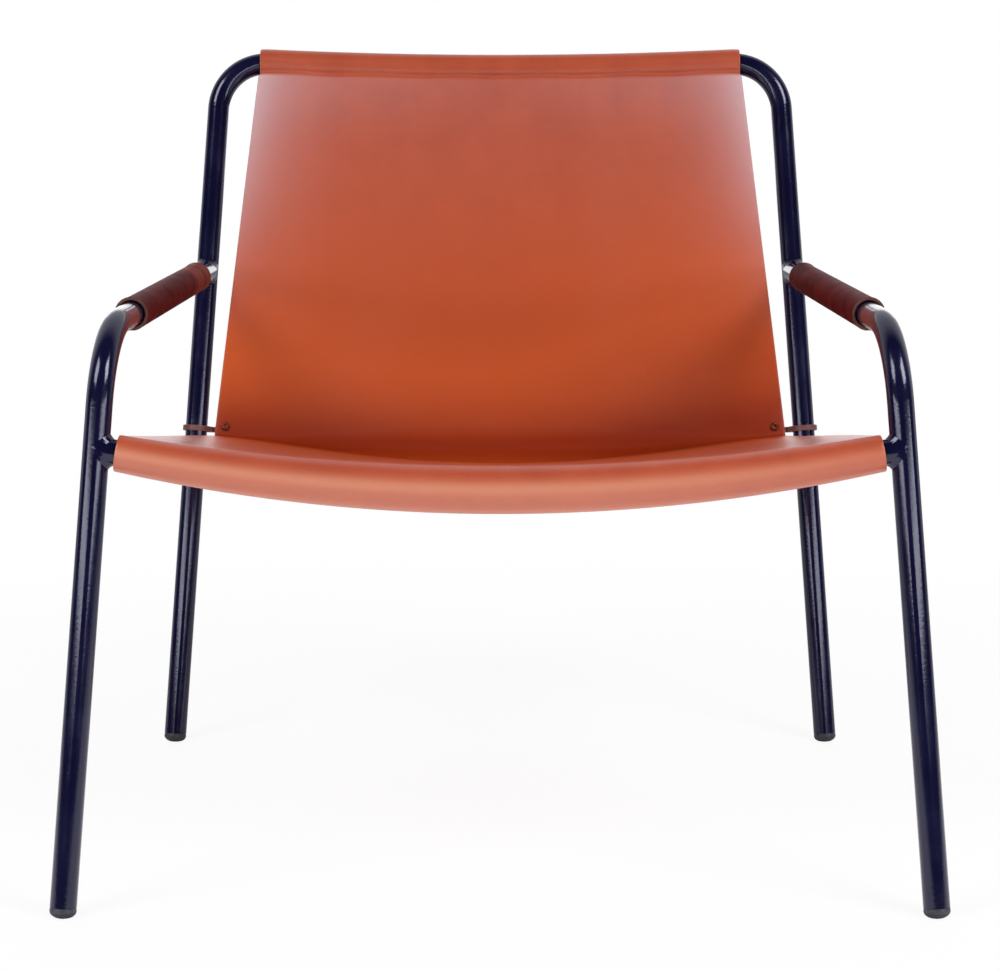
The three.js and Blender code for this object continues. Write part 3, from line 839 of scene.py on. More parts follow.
def front_leg_at(z):
    x = FRONT_FOOT_SPREAD - math.tan(FRONT_LEG_SPLAY) * z
    return Vector((x, FRONT_FOOT_Y + math.tan(FRONT_LEG_RAKE) * z, z))


def rear_leg_at(z):
    x = REAR_FOOT_SPREAD - math.tan(BACK_SPLAY) * z
    return Vector((x, FRONT_FOOT_Y + FOOT_SPACING + math.tan(BACK_LEAN) * z, z))


front_leg_up = (front_leg_at(1) - front_leg_at(0)).normalized()
rear_leg_up = (rear_leg_at(1) - rear_leg_at(0)).normalized()
backward = Vector((0, math.cos(BACK_LEAN), -math.sin(BACK_LEAN)))

rail_start = Vector((-math.cos(TOP_RAIL_END_ANGLE), 0, 0)) + backward * math.sin(TOP_RAIL_END_ANGLE)
right_top_bend = bend(rear_leg_at(TOP_RAIL_HEIGHT), rear_leg_up, rail_start, TOP_BEND_RADIUS)
top_rail_end = right_top_bend[-1]
top_arc_radius = top_rail_end.x / math.sin(TOP_RAIL_END_ANGLE)


def top_rail_at(angle):
    """A station on the bowed top rail, by its angle from the middle."""
    bow = top_arc_radius * (math.cos(angle) - math.cos(TOP_RAIL_END_ANGLE))
    return Vector((top_arc_radius * math.sin(angle), top_rail_end.y, top_rail_end.z)) + backward * bow


top_rail = [
    top_rail_at(TOP_RAIL_END_ANGLE * (1 - 2 * step / RAIL_STEPS)) for step in range(1, RAIL_STEPS)
]
top_run = right_top_bend + top_rail + mirrored(right_top_bend)[::-1]

arm_end = rear_leg_at(ARM_HEIGHT)
arm_corner = front_leg_at(ARM_HEIGHT)
arm_back = (arm_end - arm_corner).normalized()
arm_bend = bend(arm_corner, front_leg_up, arm_back, ARM_BEND_RADIUS)

rail_joint = front_leg_at(FRONT_RAIL_HEIGHT)
rail_arc_radius = (rail_joint.x**2 + FRONT_RAIL_DIP**2) / (2 * FRONT_RAIL_DIP)


def front_rail_at(x):
    rise = rail_arc_radius - math.sqrt(rail_arc_radius**2 - x**2)
    return Vector((x, rail_joint.y, FRONT_RAIL_HEIGHT - FRONT_RAIL_DIP + rise))


front_rail = [front_rail_at(rail_joint.x * (1 - 2 * step / RAIL_STEPS)) for step in range(RAIL_STEPS + 1)]
rail_outward = (front_rail[0] - front_rail[1]).normalized()


# Frame pieces

def square_to(vector, axis):
    return vector - axis * vector.dot(axis)


def onto_tube(start, along, joint, tube_up):
    """Where a line first meets the straight tube whose axis runs through a joint."""
    gap = square_to(start - joint, tube_up)
    step = square_to(along, tube_up)
    half = gap.dot(step)
    square = step.length_squared
    inside = max(half**2 - square * (gap.length_squared - TUBE_RADIUS**2), 0.0)
    return start + along * (-half - math.sqrt(inside)) / square


def saddle(piece, joint, along, tube_up):
    """Fits the end of a tube to the tube that it meets."""
    for vertex in piece.data.vertices:
        if abs((vertex.co - joint).dot(along)) < END_TOLERANCE:
            vertex.co = onto_tube(vertex.co, along, joint, tube_up)


def weld_bead(name, joint, along, tube_up, node):
    """A bead of weld round a tube's end, on the tube that it is welded to."""
    points = []
    for angle, radial in around(along, WELD_STEPS):
        root = onto_tube(joint + radial * TUBE_RADIUS, along, joint, tube_up)
        face = square_to(root - joint, tube_up).normalized()
        away = (square_to(radial, face) + square_to(along, face) * WELD_TURN).normalized()
        leg = WELD_LEG * (1 + WELD_RIPPLE * math.sin(WELD_RIPPLES * angle))
        near_toe = root - along * leg
        far_toe = root + away * leg
        far_out = square_to(far_toe - joint, tube_up)
        far_toe -= far_out * (1 - TUBE_RADIUS / far_out.length)
        crown = root + (away - along) * leg * WELD_FILL + (radial + face).normalized() * WELD_BULGE
        for part in range(WELD_FACE_STEPS + 1):
            points.append(curve_at((near_toe, crown, far_toe), part / WELD_FACE_STEPS))
        points.append(root)
    faces = ring_faces(WELD_STEPS, WELD_FACE_STEPS + 2, path_closed=True)
    return finish_piece(new_piece(name, points, faces, [coat]), "frame_steel", node)


def foot_glide(name, foot, leg_up, node):
    """A domed plug, worn flat where it stands, with a lip under the tube."""
    shoulder = GLIDE_CAP_HEIGHT - FIT_GAP
    stem = BORE_RADIUS - FIT_GAP
    dome_depth = GLIDE_DOME_HEIGHT + GLIDE_WORN_DEPTH
    profile = []
    for step in range(DOME_STEPS + 1):
        angle = math.pi / 2 * (1 - step / DOME_STEPS)
        profile.append((TUBE_RADIUS * math.cos(angle), GLIDE_DOME_HEIGHT - dome_depth * math.sin(angle)))
    profile += [
        (TUBE_RADIUS, shoulder - 2 * GLIDE_LIP_HEIGHT),
        (TUBE_RADIUS - GLIDE_LIP_GROOVE, shoulder - GLIDE_LIP_HEIGHT),
        (TUBE_RADIUS - GLIDE_LIP_GROOVE, shoulder),
        (stem, shoulder),
        (stem, shoulder + GLIDE_STEM_LENGTH),
        (0.0, shoulder + GLIDE_STEM_LENGTH),
    ]
    glide = turned(name, profile, foot, leg_up, GLIDE_SIDES, plastic)
    for vertex in glide.data.vertices:
        vertex.co.z = max(vertex.co.z, 0.0)
    return finish_piece(glide, "foot_glide", node)


rear_tube_end = rear_leg_at(0) + rear_leg_up * GLIDE_CAP_HEIGHT
front_tube_end = front_leg_at(0) + front_leg_up * GLIDE_CAP_HEIGHT


def build_side(label, side, rail):
    """A side frame, the welds at its joints, and the glides in both feet on its side."""

    def place(vector):
        return on_side(vector, side)

    run = [place(station) for station in [front_tube_end, *arm_bend, arm_end]]
    tube = bent_tube(f"side_frame_tube_{label}", run)
    saddle(tube, place(arm_end), place(arm_back), place(rear_leg_up))
    finish_piece(tube, "frame_steel", f"side_frame_{label}")
    saddle(rail, place(rail_joint), place(rail_outward), place(front_leg_up))
    for joint_name, joint, along, up in (
        ("arm", arm_end, arm_back, rear_leg_up),
        ("front_rail", rail_joint, rail_outward, front_leg_up),
    ):
        name = f"{joint_name}_{label}"
        weld_bead(f"weld_bead_{name}", place(joint), place(along), place(up), f"weld_{name}")
    for end, foot, up in (
        ("front", front_leg_at(0), front_leg_up),
        ("rear", rear_leg_at(0), rear_leg_up),
    ):
        name = f"{end}_{label}"
        foot_glide(f"glide_{name}", place(foot), place(up), f"foot_glide_{name}")


def build_frame():
    back_run = [rear_tube_end, *top_run, *mirrored([rear_tube_end])]
    finish_piece(bent_tube("back_frame_tube", back_run), "frame_steel", "back_frame")
    rail = bent_tube("front_rail_tube", front_rail)
    for label, side in SIDES:
        build_side(label, side, rail)
    finish_piece(rail, "frame_steel", "front_rail")


build_frame()


# Sling. A section runs from the flap under the front rail to the flap behind the top rail.

half_front = rail_joint.x - TUBE_RADIUS - FRONT_REVEAL
half_fold = rear_leg_at(FOLD_HEIGHT).x - TUBE_RADIUS - TIE_REVEAL
half_top = top_rail_end.x + TOP_OVERLAP
loop_radius = TUBE_RADIUS + POCKET_CLEARANCE + LEATHER / 2
top_x, top_y, top_z = np.array([tuple(station) for station in reversed(top_run)]).T


def fold_corner(across):
    """Where the seat's line and the back's line would meet, across the width from -1 to 1."""
    inward = 1 - across**2
    height = FOLD_HEIGHT - FOLD_SAG * inward**FOLD_SAG_POWER
    return Vector((rear_leg_at(height).y + FOLD_BOW * inward**2, height))


def touch(centre, radius, start, side):
    """Where a line from a point touches a circle, on the side given by the sign."""
    away = start - centre
    angle = math.atan2(away.y, away.x) + side * math.acos(radius / away.length)
    return centre + Vector((math.cos(angle), math.sin(angle))) * radius


def pocket(centre, radius, contact, corner):
    """From the panel into the tuck, round the rail, and as a flap back to the panel."""
    along = (corner - contact).normalized()
    rise = (centre - contact).normalized()
    tuck_rise = (contact - centre).length + TUCK_RADIUS
    tuck_angle = math.acos(min(tuck_rise / (radius + TUCK_RADIUS), 1.0))
    tuck_run = (radius + TUCK_RADIUS) * math.sin(tuck_angle)
    points = []
    for step in range(TUCK_STEPS):
        angle = tuck_angle * step / TUCK_STEPS
        run = tuck_run - TUCK_RADIUS * math.sin(angle)
        points.append(centre + along * run + rise * (TUCK_RADIUS * math.cos(angle) - tuck_rise))
    for step in range(LOOP_STEPS + 1):
        angle = lerp(-tuck_angle, math.pi + FLAP_WRAP, step / LOOP_STEPS)
        points.append(centre - along * radius * math.sin(angle) - rise * radius * math.cos(angle))
    leave = points[-1]
    lap = rise * (LEATHER + FIT_GAP)
    seam = contact + along * FLAP_SEAM_START + lap
    reach = (leave - seam).length / 3
    leaving = along * math.cos(FLAP_WRAP) - rise * math.sin(FLAP_WRAP)
    handles = (leave, leave + leaving * reach, seam - along * reach, seam)
    for step in range(1, FLAP_STEPS + 1):
        points.append(curve_at(handles, step / FLAP_STEPS))
    for step in range(1, SEAM_STEPS + 1):
        points.append(seam + along * FLAP_SEAM_WIDTH * step / SEAM_STEPS)
    return points


def fold_arc(seat_contact, corner, back_contact, radius):
    arriving = (corner - seat_contact).normalized().to_3d()
    leaving = (back_contact - corner).normalized().to_3d()
    return [station.to_2d() for station in bend(corner.to_3d(), arriving, leaving, radius, FOLD_STEPS)]


def panel_wave(across, share, phase):
    """The slight unevenness of a hung panel, none at its ends."""
    wave = math.sin(PANEL_WAVE_ACROSS * across + PANEL_WAVE_ALONG * share + phase)
    ripple = math.sin(PANEL_RIPPLE_ACROSS * across + PANEL_RIPPLE_ALONG * share + 2 * phase)
    return PANEL_WAVE * (wave + PANEL_RIPPLE * ripple) * math.sin(math.pi * share)


def edge_curl(across, share):
    """How far the back's cut edges curl forwards."""
    from_edge = (1 - abs(across)) * half_top
    fade = min(share / EDGE_CURL_FADE, (1 - share) / EDGE_CURL_FADE, 1.0)
    return EDGE_CURL * math.exp(-from_edge / EDGE_CURL_REACH) * fade


def sling_section(across):
    """Stations on the middle of the leather, at one place across the width."""
    inward = 1 - across**2
    front_axis = front_rail_at(across * half_front)
    top_place = across * half_top
    top_centre = Vector((np.interp(top_place, top_x, top_y), np.interp(top_place, top_x, top_z)))
    corner = fold_corner(across)
    slack = FRONT_POCKET_SLACK * inward
    front_radius = loop_radius + slack
    front_centre = Vector((front_axis.y, front_axis.z - slack))
    top_tuck = TOP_TUCK - TUCK_WANDER * math.sin(TUCK_WANDER_RATE * across) ** 2
    seat_contact = touch(front_centre, front_radius - FRONT_TUCK, corner, 1)
    back_contact = touch(top_centre, loop_radius - top_tuck, corner, -1)
    fold_radius = lerp(FOLD_EDGE_RADIUS, FOLD_MIDDLE_RADIUS, inward**2)
    fold = fold_arc(seat_contact, corner, back_contact, fold_radius)
    rail_slope = front_axis.x / math.sqrt(rail_arc_radius**2 - front_axis.x**2)
    stations = []

    def put(place, half, shift=0.0):
        stations.append(Vector((across * half + shift, place.x, place.y)))

    def lean(place):
        return -rail_slope * (place.y - front_axis.z)

    for place in reversed(pocket(front_centre, front_radius, seat_contact, corner)):
        put(place, half_front, lean(place))
    seat_normal = (fold[0] - seat_contact).orthogonal().normalized()
    for step in range(1, PANEL_STEPS):
        share = step / PANEL_STEPS
        place = lerp(seat_contact, fold[0], share) + seat_normal * panel_wave(across, share, SEAT_WAVE_PHASE)
        put(place, lerp(half_front, half_fold, share), lean(seat_contact) * (1 - share))
    for place in fold:
        put(place, half_fold)
    back_normal = (back_contact - fold[-1]).orthogonal().normalized()
    for step in range(1, PANEL_STEPS):
        share = step / PANEL_STEPS
        rise = panel_wave(across, share, BACK_WAVE_PHASE) + edge_curl(across, share)
        place = lerp(fold[-1], back_contact, share) + back_normal * rise
        put(place, lerp(half_fold, half_top, share))
    for place in pocket(top_centre, loop_radius, back_contact, corner):
        put(place, half_top)
    return stations


def thicken(piece, thickness):
    """Thickness, the flesh side and the cut edge of a sheet of leather."""
    solid = piece.modifiers.new("leather", "SOLIDIFY")
    solid.thickness = thickness
    solid.offset = 0.0
    solid.use_even_offset = True
    solid.material_offset = 1
    solid.material_offset_rim = 2
    edge = piece.modifiers.new("burnished edge", "BEVEL")
    edge.width = LEATHER_EDGE_ROUND
    edge.segments = EDGE_ROUND_STEPS
    edge.limit_method = "ANGLE"
    edge.angle_limit = LEATHER_EDGE_ANGLE


def set_flat_map(piece, flat_places):
    """The sheet's flat places in metres as its UV map."""
    layer = piece.data.uv_layers.new(name="flat")
    for loop in piece.data.loops:
        layer.data[loop.index].uv = flat_places[loop.vertex_index]


def set_values(piece, name, values):
    """A value for each point, that the material reads by its name."""
    layer = piece.data.attributes.new(name, "FLOAT", "POINT")
    layer.data.foreach_set("value", values)


def sling_painted_light(across, along):
    """Leather pales round the front rail, partly stretched and partly a painted highlight; low on the back it
    deepens with painted bounce light and shade, and the fold gets painted shade. Painted shade makes it
    darker on the right. Distances are along the leather from the fold."""
    right = max(across, 0.0)
    highlight_share = 1 - LESS_HIGHLIGHT_RIGHT * right**2
    values = []
    for index, from_fold in enumerate(np.abs(along)):
        turn = (math.pi + FLAP_WRAP) * (1 - (index - FRONT_LOOP_START) / LOOP_STEPS)
        # Flap and front roll: pale stretched leather with a painted highlight, weaker on the right
        if index < FRONT_LOOP_START:
            values.append(-STRETCH_HIGHLIGHT_REST * highlight_share)
        elif turn >= 0:
            roll_highlight = math.exp(-(((turn - STRETCH_HIGHLIGHT_PLACE) / STRETCH_HIGHLIGHT_SPREAD) ** 2))
            values.append(-highlight_share * max(roll_highlight, STRETCH_HIGHLIGHT_REST if turn > STRETCH_HIGHLIGHT_PLACE else 0.0))
        else:
            # Deeper orange low on the back: painted bounce light and shade
            wear_and_bounce = min(max((BOUNCE_SHADE_REACH - from_fold) / BOUNCE_SHADE_FULL, 0.0), 1.0)
            # Painted shade in the fold
            fold_shade = math.exp(-((from_fold / FOLD_SHADE_REACH) ** 2))
            # Painted shade on the lower right of the back
            darker = math.exp(-(((from_fold - PAINTED_SHADE_PLACE) / PAINTED_SHADE_SPREAD) ** 2))
            painted_back_tone = WEAR_AND_SHADE_MIDDLE * wear_and_bounce + (1 - WEAR_AND_SHADE_MIDDLE) * fold_shade
            values.append(min(painted_back_tone + PAINTED_SHADE_RIGHT * right * darker, 1.0))
    return values


def soft_rise(value, start, full):
    """From 0 to 1 between two values, with soft ends."""
    share = min(max((value - start) / (full - start), 0.0), 1.0)
    return share**2 * (3 - 2 * share)


def sling_painted_sheen(across, station_count):
    """A pale painted sheen on the upper back, most at its side edges and a little below the top rail."""
    from_edge = (1 - abs(across)) * half_top
    at_edge = PAINTED_SHEEN_OVERALL + PAINTED_SHEEN_AT_EDGE * math.exp(-from_edge / PAINTED_SHEEN_REACH)
    at_top = PAINTED_SHEEN_AT_TOP * lerp(PAINTED_SHEEN_TOP_MIDDLE, 1.0, abs(across))
    values = [0.0] * station_count
    for index in range(BACK_START, BACK_END):
        up = (index - BACK_START) / PANEL_STEPS
        values[index] = at_edge * soft_rise(up, PAINTED_SHEEN_START, PAINTED_SHEEN_FULL)
        values[index] += at_top * soft_rise(up, PAINTED_SHEEN_TOP_START, 1.0)
    return values


def build_sling():
    places = []
    for column in range(SLING_COLUMNS + 1):
        even = 2 * column / SLING_COLUMNS - 1
        places.append(lerp(even, math.sin(math.pi / 2 * even), EDGE_CROWDING))
    sections = [sling_section(across) for across in places]
    station_count = len(sections[0])
    grid = np.array([[tuple(p) for p in section] for section in sections])
    steps = np.linalg.norm(np.diff(grid, axis=1), axis=2)
    along = np.concatenate([np.zeros((len(sections), 1)), np.cumsum(steps, axis=1)], axis=1)
    along -= along[:, FOLD_MIDDLE][:, None]
    flat_places = np.stack([grid[:, :, 0], along], axis=2).reshape(-1, 2)
    points = [p for section in sections for p in section]
    faces = [face[::-1] for face in ring_faces(len(sections), station_count, ring_closed=False)]
    piece = new_piece("sling_sheet", points, faces, [sling_face, sling_flesh, cut_edge], closed=False)
    set_flat_map(piece, flat_places)
    # Painted highlight, painted bounce light and painted shade in the sling's colour
    wear_and_shade = [sling_painted_light(across, row) for across, row in zip(places, along)]
    set_values(piece, "wear_and_shade", [value for row in wear_and_shade for value in row])
    # Pale painted sheen on the upper back
    set_values(piece, "painted_sheen", [value for across in places for value in sling_painted_sheen(across, station_count)])
    area = sum(polygon.area for polygon in piece.data.polygons)
    flat_size = (2 * max(half_front, half_top, half_fold), float(np.ptp(along, axis=1).max()))
    thicken(piece, LEATHER)
    finish_piece(piece, "sling_leather", "sling")
    return piece, sections, flat_size, area


def flap_stitches(name, sections, rows, facing):
    """Rows of stitches on the outside of a flap's seam, kept a little away from the sling's sides."""
    paths = []
    for row in rows:
        path = []
        for section in sections[FLAP_STITCH_INSET_COLUMNS:-FLAP_STITCH_INSET_COLUMNS]:
            direction = section[row + 1] - section[row - 1]
            normal = Vector((0, -direction.z, direction.y)).normalized()
            path.append(section[row] + normal * (LEATHER / 2 + THREAD_RADIUS / 2))
        paths.append(path)
    return stitch_rows(name, paths, "sling_leather", FLAP_STITCH_SPACING, FLAP_STITCH_LENGTH, facing)


sling, sling_sections, sling_flat_size, sling_area = build_sling()
last_station = len(sling_sections[0]) - 1
front_stitches = flap_stitches("stitches_front_flap", sling_sections, (1, SEAM_STEPS - 1), (0, 0, -1))
top_stitches = flap_stitches(
    "stitches_top_flap", sling_sections, (last_station - 1, last_station - SEAM_STEPS + 1), (0, 1, 0)
)


# Arm sleeves: leather rolled round the arm, its two edges meeting under it

sleeve_middle = TUBE_RADIUS + FIT_GAP + SLEEVE_LEATHER / 2


def from_crease(place, length, angle, crease_place):
    """How far a place is behind a crease, which slants round the sleeve and is placed from its rear end."""
    return place - (length - crease_place) - SLEEVE_CREASE_SKEW * math.cos(angle)


def sleeve_radius(place, length, angle, creases):
    """The middle of the leather, slack at its ends and drawn in at its creases."""
    flare = math.exp(-place / SLEEVE_FLARE_LENGTH) + math.exp((place - length) / SLEEVE_FLARE_LENGTH)
    slack = SLEEVE_FLARE * flare * (SLEEVE_FLARE_LEVEL + SLEEVE_FLARE_SWAY * math.sin(angle))
    radius = sleeve_middle + slack
    for crease_place, depth in creases:
        away = from_crease(place, length, angle, crease_place)
        radius -= depth * math.exp(-((away / SLEEVE_CREASE_WIDTH) ** 2))
    return radius


def sleeve_wear_and_shade(place, length, angle, creases):
    """A sleeve with creases gets painted shade in them and is rubbed to a paler brown behind the first of
    them.
    """
    if not creases:
        return 0.0
    behind = from_crease(place, length, angle, creases[0][0])
    rubbed = SLEEVE_RUBBED * min(max(behind / SLEEVE_RUBBED_FADE, 0.0), 1.0)
    nearest = min(abs(from_crease(place, length, angle, crease_place)) for crease_place, _ in creases)
    # Painted shade in the creases
    return lerp(rubbed, 1.0, math.exp(-((nearest / SLEEVE_CREASE_WIDTH) ** 2)))


def arm_sleeve(label, side):
    front = arm_bend[-1] + arm_back * SLEEVE_FRONT_REVEAL
    rear = arm_end - arm_back * SLEEVE_REAR_REVEAL
    length = (rear - front).length
    across = Vector((0, 0, 1)).cross(arm_back).normalized()
    up = arm_back.cross(across)
    seam = SLEEVE_SEAM_GAP / 2 / sleeve_middle
    creases = SLEEVE_CREASES if label == "left" else ()
    points = []
    flat_places = []
    wear_and_shade = []
    for step in range(SLEEVE_STEPS + 1):
        place = length * step / SLEEVE_STEPS
        for turn in range(SLEEVE_SIDES + 1):
            angle = lerp(-math.pi / 2 + seam, 1.5 * math.pi - seam, turn / SLEEVE_SIDES)
            radius = sleeve_radius(place, length, angle, creases)
            out = across * math.cos(angle) + up * math.sin(angle)
            points.append(on_side(front + arm_back * place + out * radius, side))
            flat_places.append((angle * sleeve_middle, place + side))
            # Rubbed leather behind the first crease, and painted shade in the creases
            wear_and_shade.append(sleeve_wear_and_shade(place, length, angle, creases))
    faces = ring_faces(SLEEVE_STEPS + 1, SLEEVE_SIDES + 1, ring_closed=False)
    if side < 0:
        faces = [face[::-1] for face in faces]
    sleeve = new_piece(
        f"arm_sleeve_cover_{label}", points, faces, [sleeve_face, sleeve_flesh, sleeve_edge], closed=False
    )
    set_flat_map(sleeve, flat_places)
    set_values(sleeve, "wear_and_shade", wear_and_shade)
    thicken(sleeve, SLEEVE_LEATHER)
    finish_piece(sleeve, "sleeve_leather", f"arm_sleeve_{label}")
    drop = up * -(sleeve_middle + SLEEVE_LEATHER / 2)
    seam_ends = (SLEEVE_STITCH_INSET, length - SLEEVE_STITCH_INSET)
    path = [on_side(front + drop + arm_back * place, side) for place in seam_ends]
    for slant_label, slant in (("a", SLEEVE_STITCH_SLANT), ("b", -SLEEVE_STITCH_SLANT)):
        stitch_rows(
            f"stitches_sleeve_{label}_{slant_label}",
            [path],
            "sleeve_leather",
            SLEEVE_STITCH_SPACING,
            SLEEVE_STITCH_LENGTH,
            facing=(0, 0, -1),
            slant=slant,
        )


for side_label, side_sign in SIDES:
    arm_sleeve(side_label, side_sign)


# Ties. Each strap lies in a plane square to its rear leg. From the leg u runs outwards, v back and w up.

tie_centre = rear_leg_at(FOLD_HEIGHT + TIE_RISE)
tie_outward = backward.cross(rear_leg_up)
sling_edge = half_fold - tie_centre.x
strap_lap = LEATHER / 2 + FIT_GAP + STRAP_SLACK + STRAP_THICKNESS / 2
second_lap = strap_lap + STRAP_THICKNESS + FIT_GAP
rivet_place = sling_edge - RIVET_INSET
strap_end = rivet_place - STRAP_TAIL
rivet_height = RIVET_RISE - TIE_RISE


def tie_point(u, v, w):
    return tie_centre + tie_outward * u + backward * v + rear_leg_up * w


def strap_stations():
    """Behind the sling's edge, across to the front of the leg, round it and back behind the first end."""
    radius = TUBE_RADIUS + FIT_GAP + STRAP_THICKNESS / 2
    centre = Vector((0, 0))
    turn_in = Vector((sling_edge + STRAP_BEND_RADIUS, strap_lap))
    front_touch = touch(centre, radius, turn_in, 1)
    turn_back = Vector((sling_edge, second_lap))
    rear_touch = touch(centre, radius, turn_back, -1)
    outward = Vector((1, 0, 0))
    to_front = (front_touch - turn_in).normalized().to_3d()
    to_sling = (turn_back - rear_touch).normalized().to_3d()
    stations = [Vector((strap_end, strap_lap, 0))]
    stations += bend(turn_in.to_3d(), outward, to_front, STRAP_BEND_RADIUS, STRAP_BEND_STEPS)
    start_angle = math.atan2(front_touch.y, front_touch.x)
    end_angle = math.atan2(rear_touch.y, rear_touch.x)
    start_angle -= 2 * math.pi * (start_angle > 0)
    end_angle += 2 * math.pi * (end_angle < start_angle)
    for step in range(STRAP_WRAP_STEPS + 1):
        angle = lerp(start_angle, end_angle, step / STRAP_WRAP_STEPS)
        stations.append(Vector((radius * math.cos(angle), radius * math.sin(angle), 0)))
    stations += bend(turn_back.to_3d(), to_sling, -outward, STRAP_BEND_RADIUS, STRAP_BEND_STEPS)
    stations.append(Vector((strap_end, second_lap, 0)))
    return stations


def strap_section():
    """A flat thong with rounded edges: pairs across its thickness and its width."""
    corners = []
    for quarter, (thick_sign, wide_sign) in enumerate(((1, 1), (-1, 1), (-1, -1), (1, -1))):
        for step in range(STRAP_CORNER_STEPS + 1):
            angle = math.pi / 2 * (quarter + step / STRAP_CORNER_STEPS)
            thick = thick_sign * (STRAP_THICKNESS / 2 - STRAP_ROUND) + STRAP_ROUND * math.cos(angle)
            wide = wide_sign * (STRAP_WIDTH / 2 - STRAP_ROUND) + STRAP_ROUND * math.sin(angle)
            corners.append((thick, wide))
    return corners


def tie_strap(label, side):
    stations = strap_stations()
    section = strap_section()
    points = []
    for index, station in enumerate(stations):
        before = stations[max(index - 1, 0)]
        after = stations[min(index + 1, len(stations) - 1)]
        along = (after - before).normalized()
        for thick, wide in section:
            flat = station + Vector((-along.y, along.x, 0)) * thick
            points.append(on_side(tie_point(flat.x, flat.y, wide), side))
    faces = ring_faces(len(stations), len(section))
    faces.append(tuple(range(len(section))))
    faces.append(tuple(range(len(points) - len(section), len(points))))
    strap = new_piece(f"tie_thong_{label}", points, faces, [thong_leather])
    finish_piece(strap, "sling_leather", f"tie_strap_{label}")


def tie_rivet(label, side):
    """A hollow-headed rivet through the sling and both ends of the strap, with a burr behind them."""
    face = LEATHER / 2 + FIT_GAP
    head_top = face + RIVET_HEAD_HEIGHT
    burr_start = second_lap + STRAP_THICKNESS / 2 + FIT_GAP
    tail_start = burr_start + BURR_THICKNESS + FIT_GAP
    soft = RIVET_SOFTENING
    centre = on_side(tie_point(rivet_place, 0, rivet_height), side)
    bore = RIVET_SHANK_RADIUS + FIT_GAP
    profiles = {
        "rivet": [
            (0.0, RIVET_CUP_DEPTH - head_top),
            (RIVET_CUP_FLOOR_RADIUS, RIVET_CUP_DEPTH - head_top),
            (RIVET_CUP_RADIUS - soft, RIVET_CUP_DEPTH - soft - head_top),
            (RIVET_CUP_RADIUS, soft - head_top),
            (RIVET_CUP_RADIUS + soft, -head_top),
            (RIVET_RIM_RADIUS - soft, -head_top),
            (RIVET_RIM_RADIUS + soft, soft - head_top),
            (RIVET_HEAD_RADIUS - soft, -face - 2 * soft),
            (RIVET_HEAD_RADIUS, -face - soft),
            (RIVET_HEAD_RADIUS - soft, -face),
            (RIVET_SHANK_RADIUS, -face),
            (RIVET_SHANK_RADIUS, tail_start),
            (RIVET_TAIL_RADIUS, tail_start),
            (RIVET_TAIL_RADIUS - soft, tail_start + RIVET_TAIL_HEIGHT / 2),
            (RIVET_SHANK_RADIUS, tail_start + RIVET_TAIL_HEIGHT),
            (0.0, tail_start + RIVET_TAIL_HEIGHT),
        ],
        "burr": [
            (bore, burr_start),
            (BURR_RADIUS, burr_start),
            (BURR_RADIUS, burr_start + BURR_THICKNESS - soft),
            (BURR_RADIUS - soft, burr_start + BURR_THICKNESS),
            (bore, burr_start + BURR_THICKNESS),
            (bore, burr_start),
        ],
    }
    for kind, profile in profiles.items():
        piece = turned(f"{kind}_{label}", profile, centre, backward, RIVET_SIDES, copper)
        finish_piece(piece, "rivet_copper", f"tie_{kind}_{label}")


for side_label, side_sign in SIDES:
    tie_strap(side_label, side_sign)
    tie_rivet(side_label, side_sign)


# Studio

def add_camera():
    data = bpy.data.cameras.new("camera")
    data.lens = CAMERA_LENS
    data.sensor_width = CAMERA_SENSOR
    data.sensor_fit = "HORIZONTAL"
    camera = bpy.data.objects.new("camera", data)
    camera.location = (0, FRONT_FOOT_Y - CAMERA_SETBACK, CAMERA_HEIGHT)
    camera.rotation_euler = (math.pi / 2 - CAMERA_PITCH, 0, 0)
    scene.collection.objects.link(camera)
    scene.camera = camera


def add_softbox(name, aim, turn, rise, distance, size, power):
    """A lamp at an angle to the side and an angle up, as seen from its aim looking to the front."""
    level = distance * math.cos(math.radians(rise))
    side = level * math.sin(math.radians(turn))
    front = level * math.cos(math.radians(turn))
    away = Vector((side, -front, distance * math.sin(math.radians(rise))))
    data = bpy.data.lights.new(name, "AREA")
    data.shape = "RECTANGLE"
    data.size, data.size_y = size
    data.energy = power
    lamp = bpy.data.objects.new(name, data)
    lamp.location = aim + away
    lamp.rotation_euler = (-away).to_track_quat("-Z", "Y").to_euler()
    lamp.visible_camera = False
    scene.collection.objects.link(lamp)


def camera_choice(tree, lit, seen):
    """One shader for the light in the room and another for what the camera sees."""
    path = add_node(tree, "ShaderNodeLightPath")
    choice = add_node(tree, "ShaderNodeMixShader", {0: path.outputs["Is Camera Ray"], 1: lit, 2: seen})
    return choice.outputs[0]


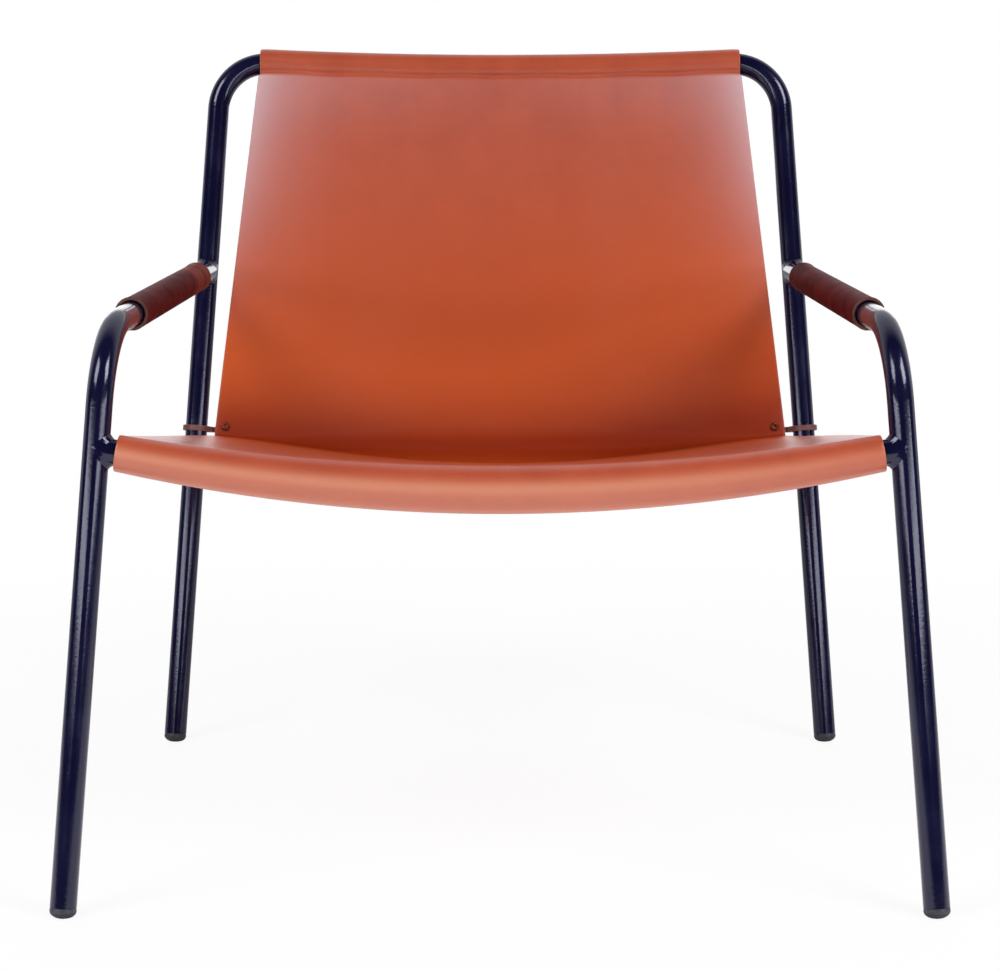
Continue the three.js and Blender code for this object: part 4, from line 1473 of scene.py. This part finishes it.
def add_floor():
    """A pale floor that keeps a faint shadow, and looks white to the camera."""
    corners = ((-1, -1), (1, -1), (1, 1), (-1, 1))
    points = [(FLOOR_REACH * x, FLOOR_REACH * y, 0) for x, y in corners]
    material, tree = new_material("studio floor")
    tree.nodes.clear()
    white = add_node(tree, "ShaderNodeEmission", {"Color": WHITE, "Strength": 1.0})
    shaded = add_node(tree, "ShaderNodeBsdfDiffuse", {"Color": FLOOR_SEEN_TONE})
    lit = add_node(tree, "ShaderNodeBsdfDiffuse", {"Color": FLOOR_LIT_TONE})
    away = add_node(tree, "ShaderNodeVectorMath", {0: coordinates(tree, "Object")}, operation="LENGTH")
    reach = (FLOOR_SHADOW_START, FLOOR_SHADOW_END)
    shadow = remap(tree, away.outputs["Value"], reach, (FLOOR_SHADOW_SHARE, 0.0))
    seen = add_node(tree, "ShaderNodeMixShader", {0: shadow, 1: white.outputs[0], 2: shaded.outputs[0]})
    result = add_node(tree, "ShaderNodeOutputMaterial")
    tree.links.new(camera_choice(tree, lit.outputs[0], seen.outputs[0]), result.inputs["Surface"])
    new_piece("studio_floor", points, [(0, 1, 2, 3)], [material], closed=False)


def set_world():
    """A white backdrop behind the chair, a dim room in front of it, and white for the camera."""
    world = bpy.data.worlds.new("studio")
    scene.world = world
    world.use_nodes = True
    tree = world.node_tree
    tree.nodes.clear()
    direction = add_node(tree, "ShaderNodeSeparateXYZ", {0: coordinates(tree, "Generated")})
    backdrop = remap(tree, direction.outputs["Y"], (BACKDROP_START, BACKDROP_FULL))
    shade = blend(tree, backdrop, ROOM_TONE, BACKDROP_TONE)
    room = add_node(tree, "ShaderNodeBackground", {"Color": shade, "Strength": 1.0})
    white = add_node(tree, "ShaderNodeBackground", {"Color": WHITE, "Strength": 1.0})
    result = add_node(tree, "ShaderNodeOutputWorld")
    tree.links.new(camera_choice(tree, room.outputs[0], white.outputs[0]), result.inputs["Surface"])


def add_lamps():
    chair = Vector((0, 0, 0.45))
    add_softbox("softbox_right", chair, turn=52, rise=40, distance=3.4, size=(1.3, 1.3), power=67)
    add_softbox("softbox_left", chair, turn=-52, rise=40, distance=3.4, size=(1.3, 1.3), power=51)
    for label, side in SIDES:
        turn = 42 * side
        add_softbox(f"low_lamp_{label}", chair, turn, rise=7.5, distance=3.0, size=(2.6, 0.34), power=19)
    add_softbox("backdrop_lamp", chair, turn=180, rise=12, distance=2.5, size=(3.0, 1.2), power=14)
    over_floor = Vector((0, -1.1, 1.0))
    add_softbox("floor_reflector", over_floor, turn=0, rise=-90, distance=0.996, size=(2.4, 2.4), power=9)


scene.view_settings.view_transform = "Standard"
add_camera()
add_floor()
set_world()
add_lamps()
